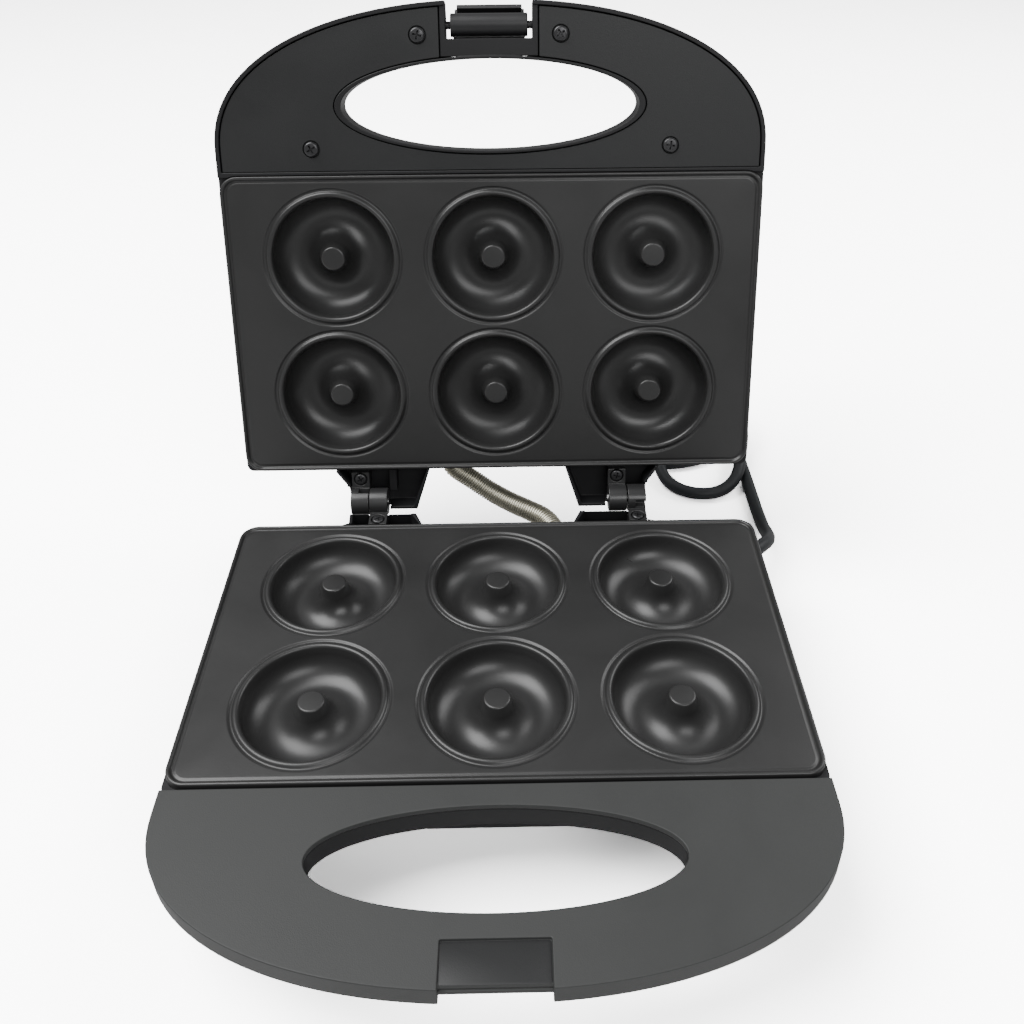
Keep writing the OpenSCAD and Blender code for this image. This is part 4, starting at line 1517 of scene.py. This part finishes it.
@dataclass
class ScrewSet:
    """The cross-head screws that stand for one CAD node.

    Attributes:
        node: The CAD node.
        finish: Their finish.
        material_slot: The record's material slot.
        body: The body that they ride on.
        place: Matrix of the space in which the screws stand along Z.
        steps: Steps round a head.
    """

    node: str
    finish: Finish
    material_slot: str
    body: Body
    place: Matrix
    steps: int = 36

    HEAD_H = 1.8 * MM
    THREAD_PITCH = 1.1 * MM
    FIRST_TURN = 0.5
    TURN = 2.4

    def build(self) -> bpy.types.Object:
        """Sets a turned copy of the screw on every seat.

        Returns:
            The set of screws as one piece.
        """
        to_local = self.place.inverted()
        seats = [ScrewSeat.from_points(points) for points in solids_of(self.node, to_local)]
        template = self._template(seats[0])
        turn = self.place.to_3x3()
        places = [
            (self.place @ seat.top, turn @ (UP * seat.facing), self.TURN * i + self.FIRST_TURN)
            for i, seat in enumerate(seats)
        ]
        values = {"Template": template, "Material": self.finish.material()}
        screws = TREES["set_on_points"].run(points_host(places), f"{self.node}_set", values)
        bpy.data.objects.remove(template)
        return carry(screws, self.body, self.material_slot, self.node)

    def _template(self, seat: ScrewSeat) -> bpy.types.Object:
        """Makes one screw, its head's top at the origin and its tip below."""
        work = bmesh.new()
        head_r = seat.head_r
        shank_r = head_r * 0.44
        flat_r = head_r * 0.74
        profile = [(flat_r, 0.0), (head_r * 0.9, -0.18 * MM), (head_r * 0.975, -0.5 * MM)]
        profile += [(head_r, -0.9 * MM), (head_r, -self.HEAD_H + 0.25 * MM)]
        profile += [(head_r - 0.25 * MM, -self.HEAD_H), (shank_r, -self.HEAD_H)]
        depth = self.HEAD_H + 0.4 * MM
        while depth + self.THREAD_PITCH < seat.length - head_r * 0.5:
            profile += [(shank_r * 0.82, -depth), (shank_r, -depth - self.THREAD_PITCH * 0.5)]
            depth += self.THREAD_PITCH
        profile += [(shank_r * 0.8, -depth), (0.0, -seat.length)]
        lathe(work, profile, self.steps, Matrix.Identity(4))
        rim = [v for v in work.verts if abs(v.co.z) < WELD]
        rim.sort(key=lambda v: math.atan2(v.co.y, v.co.x))
        rings = [
            [(x * size, y * size, -drop) for x, y in self._cross(head_r * 0.6, 0.11 * head_r)]
            for size, drop in ((1.0, 0.0), (0.9, 0.35 * MM), (0.62, 1.05 * MM))
        ]
        made = loft(work, rings, cap=False)
        work.faces.new(made[-1])
        edges = ring_edges(work, rim) + ring_edges(work, made[0])
        bmesh.ops.triangle_fill(work, use_beauty=True, use_dissolve=False, edges=edges)
        return finish_mesh(work, "cross_head_screw", 38.0)

    @staticmethod
    def _cross(reach: float, half: float) -> list[tuple[float, float]]:
        """Outline of a cross, counter-clockwise."""
        arm = [(reach, -half), (reach, half), (half, half)]
        outline = []
        for quarter in range(4):
            for x, y in arm:
                for _ in range(quarter):
                    x, y = -y, x
                outline.append((x, y))
        return outline


@dataclass
class LampLens:
    """A clear coloured lens with a domed face and a snap collar.

    Attributes:
        node: The CAD node.
        finish: Its finish.
        material_slot: The record's material slot.
        place: Matrix of the lid's shut space.
    """

    node: str
    finish: Finish
    material_slot: str
    place: Matrix

    def build(self) -> bpy.types.Object:
        """Turns the lens in its place.

        Returns:
            The lens.
        """
        (points,) = solids_of(self.node, self.place.inverted())
        seat = ScrewSeat.from_points(points)
        radius, depth = seat.head_r, seat.length
        dome = arc((0.0, -depth * 0.34), (radius * 0.96, depth * 0.34), (90.0, 12.0), 9)
        profile = [(0.0, 0.0), *dome[1:], (radius, -depth * 0.36), (radius, -depth * 0.5)]
        profile += [(radius * 0.8, -depth * 0.52), (radius * 0.8, -depth), (0.0, -depth)]
        work = bmesh.new()
        spun = Matrix.Translation(seat.top) @ Matrix.Diagonal((1.0, 1.0, seat.facing, 1.0))
        lathe(work, profile, 40, self.place @ spun)
        lens = finish_mesh(work, f"{self.node}_dome", 40.0)
        self.finish.dress(lens)
        return carry(lens, Body.LID, self.material_slot, self.node)


@dataclass
class ShelfPaintedShade:
    """A thin dark sheet laid on the shelf that the latch's wing lies on, as painted shade of the
    recess.

    Attributes:
        datum: The datum planes.
        half_w: Half its width in millimetres.
        front: Its front edge behind the plate's rear edge.
        rear: Its rear edge.
        seat: The shelf's depth below the rim.
        thickness: Its thickness.
        corner_r: Radius of its corners.
    """

    datum: Datum
    half_w: float = 16.2
    front: float = -194.8
    rear: float = -182.6
    seat: float = 1.5
    thickness: float = 0.16
    corner_r: float = 0.7

    def build(self) -> bpy.types.Object:
        """Lays the dark sheet of painted shade on the shelf.

        Returns:
            The sheet of painted shade.
        """
        place = self.datum.on_base()
        rings = []
        for inset, lift in ((0.0, 0.0), (0.0, 0.7), (0.1, 1.0)):
            half, front, rear = self.half_w - inset, self.front + inset, self.rear - inset
            outline = rounded_rectangle(half * MM, front * MM, rear * MM, self.corner_r * MM, 5)
            height = (self.thickness * lift - self.seat) * MM
            rings.append([place @ Vector((x, y, height)) for x, y in outline])
        work = bmesh.new()
        loft(work, rings)
        shade_sheet = finish_mesh(work, "latch_ledge")
        # Painted shade: the darker panel finish on this thin sheet stands in for the shade in the
        # recessed shelf.
        PANEL.dress(shade_sheet)
        return carry(shade_sheet, Body.BASE, "handle_panel")


TREES: dict[str, GeometryTree] = {}


def dress_node(node: str, finish: Finish) -> None:
    """Gives a carried-over CAD node a finish without touching its mesh."""
    piece = frame["nodes"][node]
    for material_slot in piece.material_slots:
        material_slot.link = "OBJECT"
        material_slot.material = finish.material()
    log.info("%s keeps its CAD shape in %s", node, finish.name)


def main() -> None:
    """Builds the maker piece by piece."""
    datum = Datum.from_frame()
    TREES["set_on_points"] = instance_tree()
    TREES["close_wound_wire"] = wire_tree()
    Studio(datum).build()
    PowerCord(datum).build()
    SpringConduit(datum).build()
    BakingPlate(datum, Body.BASE, "base_plate", True).build()
    BakingPlate(datum, Body.LID, "lid_plate", False).build()
    copies = {
        "base_shell": (HOUSING, "housing", Body.BASE, 0.35),
        "lid_shell": (HOUSING, "housing", Body.LID, 0.35),
        "base_handle_cover": (COVER, "handle_cover", Body.BASE, 0.4),
        "lid_handle_panel": (PANEL, "handle_panel", Body.LID, 0.3),
        "base_knuckles": (KNUCKLE, "knuckle_plastic", Body.BASE, 0.3),
        "lid_knuckles": (KNUCKLE, "knuckle_plastic", Body.LID, 0.3),
        "latch": (LATCH, "housing", Body.LATCH, 0.35),
        "rubber_feet": (FOOT, "foot_rubber", Body.BASE, 0.5),
    }
    for node, (finish, slot, body, radius) in copies.items():
        carry(bench_copy(node, f"{node}_moulding", finish, radius), body, slot, node)
    base, lid = datum.on_base(), datum.on_lid()
    black, zinc = (BLACK_STEEL, "black_screws"), (ZINC, "zinc_screws")
    for node, look, body, place in (
        ("base_handle_screws", black, Body.BASE, base),
        ("base_knuckle_screws", black, Body.BASE, base),
        ("lid_handle_screws", black, Body.LID, lid),
        ("lid_knuckle_screws", black, Body.LID, lid),
        ("base_plate_screws", zinc, Body.BASE, base),
        ("lid_plate_screws", zinc, Body.LID, lid),
        ("cord_clamp_screws", zinc, Body.BASE, base),
    ):
        ScrewSet(node, *look, body, place).build()
    # Painted shade: a thin dark sheet on the latch shelf.
    ShelfPaintedShade(datum).build()
    LampLens("power_lens", RED_LENS, "red_lens", lid).build()
    LampLens("ready_lens", GREEN_LENS, "green_lens", lid).build()
    kept = {
        HEATER: ("base_heater", "lid_heater"),
        CERAMIC: ("base_heater_ends", "lid_heater_ends"),
        SHEET: ("base_reflector", "lid_reflector", "thermostat_bracket"),
        PIN_STEEL: ("hinge_pins",),
        BLACK_STEEL: ("latch_pin",),
        FUSE: ("thermal_fuse", "thermostat"),
        TERMINAL: ("terminal_block", "cord_clamp"),
        SLEEVE: ("base_wires", "lid_wires"),
        HOUSING: ("conduit_bush_base", "conduit_bush_lid"),
        LAMP: ("power_lamp", "ready_lamp"),
    }
    for finish, nodes in kept.items():
        for node in nodes:
            dress_node(node, finish)


if __name__ == "__main__":
    main()
